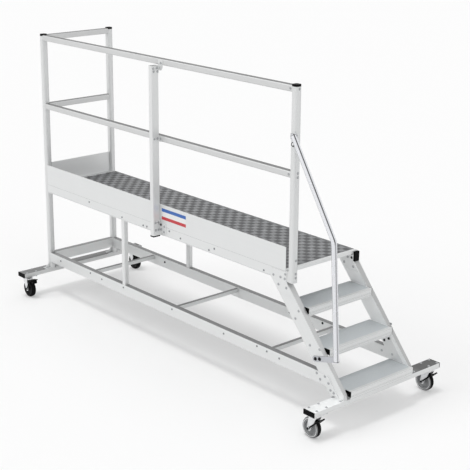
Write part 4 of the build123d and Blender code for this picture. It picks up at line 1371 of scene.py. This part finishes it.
@dataclass
class Castor:
    """One braked swivel castor in its own frame, with the swivel axis at x = 0."""

    name: str
    swivel: Pair
    axle: float
    finishes: Finishes
    dark: bool
    pad_start: Pair
    pad_end: Pair
    hood: tuple[Pair, ...] = ()
    radius: float = 62.5
    nut_seat: float = 32.4
    fork_side: float = 25.3
    rib_ends: tuple[Pair, Pair] = ((54.0, 133.0), (26.0, 70.0))
    rib_share: float = 0.34
    rib_half: float = 1.6
    rib_depth: float = 1.1
    pad_spacing: float = 8.0
    pad_half: float = 20.0
    pad_lift: float = 3.0
    pad_ease: float = 0.0003
    hood_half: float = 19.0
    rim_steps: int = 56

    def spot(self, x: float, y: float, z: float) -> Vector:
        """A place of the castor in the model's frame."""
        return at(self.swivel[0] + x, self.swivel[1] + y, z)

    def turned(self, shape: Shape, half: Sequence[Pair], steps: int) -> None:
        """Adds a wheel part, given half of its profile as pairs of radius and width."""
        full = [*half, *[(r, -y) for r, y in reversed(half)]]
        shape.lathe(full, self.spot(self.axle, 0, self.radius), BACK, steps, True)

    def build_wheel(self) -> None:
        """Tyre, wheel centre and the light bead between them."""
        looks, body = self.finishes, "wheel_" + self.name
        tyre_node, centre_node = "tyre_" + self.name, "rim_" + self.name
        rubber, paint, light = (
            (looks.tyre, looks.dark_centre, looks.cap) if self.dark
            else (looks.grey_tyre, looks.centre, looks.ring)
        )
        tyre, centre, bead = Shape(), Shape(), Shape()
        self.turned(tyre, ((47.6, 15.4), (50.5, 17.0), (56.0, 16.6), (60.0, 14.4), (62.0, 10.8),
                           (62.5, 6.6), (62.5, 1.0)), 46)
        tyre.finish(tyre_node + "_rubber", rubber, "tyre", body, (tyre_node,))
        self.turned(centre, ((5.4, 22.1), (12.6, 22.1), (14.0, 20.8), (14.0, 9.0), (17.0, 6.2),
                             (35.0, 5.2), (39.0, 7.6), (40.4, 13.6), (41.6, 15.0), (46.6, 15.4),
                             (47.9, 14.4)), self.rim_steps)
        centre.finish(centre_node + "_centre", paint, "wheel_centre", body, (centre_node,))
        for side in (-1, 1):
            loop = [(r, side * y) for r, y in ((50.4, 16.4), (50.8, 17.2), (52.0, 17.5),
                                               (53.4, 17.4), (53.9, 16.9), (52.0, 16.2))]
            bead.lathe(loop, self.spot(self.axle, 0, self.radius), BACK, self.rim_steps, True)
        bead.finish("bead_" + self.name, light, "wheel_centre", body)

    def build_fork(self) -> None:
        """Pressed fork with its stiffening ribs, ball race and axle nuts."""
        body, node, steel = "swivel_" + self.name, "fork_" + self.name, self.finishes.steel
        fork, race = Shape().copy(node, MEMBER_EASE), Shape()
        for side in (-1, 1):
            for share in (-self.rib_share, self.rib_share):
                (top_width, top), (foot_width, foot) = self.rib_ends
                top_x, foot_x = share * top_width, self.axle + share * foot_width
                outline = [self.spot(x, side * self.fork_side, z) for x, z in (
                    (top_x - self.rib_half, top), (top_x + self.rib_half, top),
                    (foot_x + self.rib_half, foot), (foot_x - self.rib_half, foot),
                )]
                fork.prism(outline, Vector((0, side * self.rib_depth * MM, 0)), RIB_EASE)
        fork.finish(node + "_pressed", steel, "zinc_steel", body, (node,))
        race.lathe(((7.0, 142.8), (26.0, 142.8), (29.5, 143.6), (30.4, 145.4), (29.4, 147.4),
                    (27.8, 148.4), (7.0, 148.4)), self.spot(0, 0, 0), UP, 48, True)
        race.finish("race_" + self.name, steel, "zinc_steel", body)
        nuts = Fasteners(
            "axle_nuts_" + self.name, self.finishes.black_bolt, head_radius=0.0068,
            head_height=0.0046,
        )
        x, y = self.swivel[0] + self.axle, self.swivel[1]
        nuts.add(OUT, (x, y - self.nut_seat, self.radius))
        nuts.add(BACK, (x, y + self.nut_seat, self.radius))
        nuts.build(body)

    def build_pedal(self) -> None:
        """Brake pedal with a ribbed pad."""
        node = "pedal_" + self.name
        pedal = Shape().copy(node, MEMBER_EASE)
        start, end = (Vector((x, 0, z)) for x, z in (self.pad_start, self.pad_end))
        way, length = (end - start).normalized(), (end - start).length
        normal = Vector((-way.z, 0, way.x))
        count = round(length / self.pad_spacing) + 1
        for i in range(count):
            share = 0.45 + 0.5 * i / (count - 1)
            middle = start + way * (length * share) + normal * self.pad_lift
            corners = [middle + way * along + normal * over
                       for along, over in ((-1.0, -0.5), (1.0, -0.5), (1.0, 0.9), (-1.0, 0.9))]
            pedal.prism([self.spot(p.x, -self.pad_half, p.z) for p in corners],
                        BACK * (2 * self.pad_half * MM), self.pad_ease)
        if self.hood:
            outline = [self.spot(x, -self.hood_half, z) for x, z in self.hood]
            pedal.prism(outline, BACK * (2 * self.hood_half * MM), ROUND_EASE)
        pedal.finish(node + "_ribbed", self.finishes.pedal, "black_pedal",
                     "swivel_" + self.name, (node,))

    def build(self) -> None:
        """Builds the whole castor."""
        self.build_wheel()
        self.build_fork()
        self.build_pedal()


@dataclass
class Studio:
    """Pale floor, soft lamps and the camera."""

    eye: Point = (7277.3, -4589.0, 3128.8)
    aim: Point = (1406.0, 425.0, 953.0)
    lens: float = 91.4
    shift: Pair = (0.040, -0.080)
    roll: float = 0.13
    floor_half: float = 60.0
    floor_tone: float = 0.92
    floor_glow: float = 0.27
    surround: float = 0.50

    @staticmethod
    def turned(way: Vector) -> Matrix:
        """The turn of a camera or lamp that looks along a way."""
        return way.to_track_quat("-Z", "Y").to_matrix().to_4x4()

    def build_camera(self) -> None:
        """Stands the camera where the photograph was taken from."""
        data = bpy.data.cameras.new("camera")
        data.lens, data.sensor_width = self.lens, 36.0
        data.shift_x, data.shift_y = self.shift
        camera = add_object("camera", data)
        eye, aim = at(*self.eye), at(*self.aim)
        spin = Matrix.Rotation(math.radians(self.roll), 4, "Z")
        camera.matrix_world = Matrix.Translation(eye) @ self.turned(aim - eye) @ spin
        bpy.context.scene.camera = camera

    def build_floor(self) -> None:
        """A wide pale floor that shows white to the camera and keeps the shadow."""
        shader = Shader("studio_floor")
        camera = shader.node("ShaderNodeLightPath", output="Is Camera Ray")
        rays = camera + camera.output("Is Glossy Ray") + camera.output("Is Transmission Ray")
        pale = shader.node("ShaderNodeBsdfDiffuse", {0: (*(self.floor_tone,) * 3, 1.0)})
        glow = shader.node("ShaderNodeEmission", {0: WHITE})
        share = rays.clamped(0.0, 1.0) * self.floor_glow
        mixed = shader.node("ShaderNodeMixShader", {0: share, 1: pale, 2: glow})
        shader.feed(shader.output, mixed)
        data = bpy.data.meshes.new("studio_floor")
        half = self.floor_half
        data.from_pydata([(-half, -half, 0), (half, -half, 0), (half, half, 0), (-half, half, 0)],
                         [], [(0, 1, 2, 3)])
        data.materials.append(shader.material)
        floor = add_object("studio_floor", data)

    def build_world(self) -> None:
        """Soft white surroundings."""
        world = bpy.data.worlds.new("studio_world")
        world.use_nodes = True
        nodes = Nodes(world.node_tree)
        camera = nodes.node("ShaderNodeLightPath", output="Is Camera Ray")
        rays = nodes.math("MAXIMUM", camera, camera.output("Is Glossy Ray"))
        strength = nodes.node(
            "ShaderNodeMapRange", {"Value": rays, "To Min": self.surround, "To Max": 1.0}
        )
        back = nodes.node("ShaderNodeBackground", {0: WHITE, 1: strength})
        nodes.feed(nodes.tree.nodes.new("ShaderNodeOutputWorld").inputs[0], back)
        bpy.context.scene.world = world

    def lamp(self, name: str, way: Point, spread: float, power: float) -> None:
        """Adds one broad lamp that lights everything alike.

        Args:
            name: The lamp's name.
            way: Direction in which its light travels.
            spread: Apparent width in degrees.
            power: Strength.
        """
        data = bpy.data.lights.new(name, "SUN")
        data.angle, data.energy = math.radians(spread), power
        add_object(name, data).matrix_world = self.turned(Vector(way))

    def build(self) -> None:
        """Builds the whole studio."""
        self.build_camera()
        self.build_floor()
        self.build_world()
        self.lamp("overhead", (0.10, 0.14, -1.0), 14.0, 0.80)
        self.lamp("ceiling", (0.15, -0.1, -1.0), 80.0, 0.42)
        self.lamp("key", (0.45, 0.8, -0.55), 35.0, 0.70)
        self.lamp("fill", (-0.8, 0.1, -0.6), 40.0, 0.30)
        bpy.context.scene.view_settings.view_transform = "Standard"


def main() -> None:
    """Builds the looks of the platform piece by piece."""
    logging.basicConfig(level=logging.INFO, format="%(name)s %(message)s")
    finishes = Finishes()
    Studio().build()
    Frame(finishes).build()
    Deck(finishes).build()
    Stair(finishes).build()
    hood = ((44.0, 130.5), (60.0, 128.0), (78.0, 120.5), (92.0, 113.0), (99.0, 118.0),
            (96.0, 141.0), (60.0, 138.0), (45.0, 135.0))
    for name, swivel in (("near_left", (-20.0, -202.0)), ("far_left", (-20.0, 772.0))):
        Castor(name, swivel, 25.0, finishes, True, (45.0, 130.5), (91.0, 140.5), hood).build()
    for name, swivel in (("near_right", (3000.0, -202.0)), ("far_right", (3000.0, 772.0))):
        Castor(name, swivel, -25.0, finishes, False, (27.6, 111.0), (46.0, 128.0)).build()


if __name__ == "__main__":
    main()
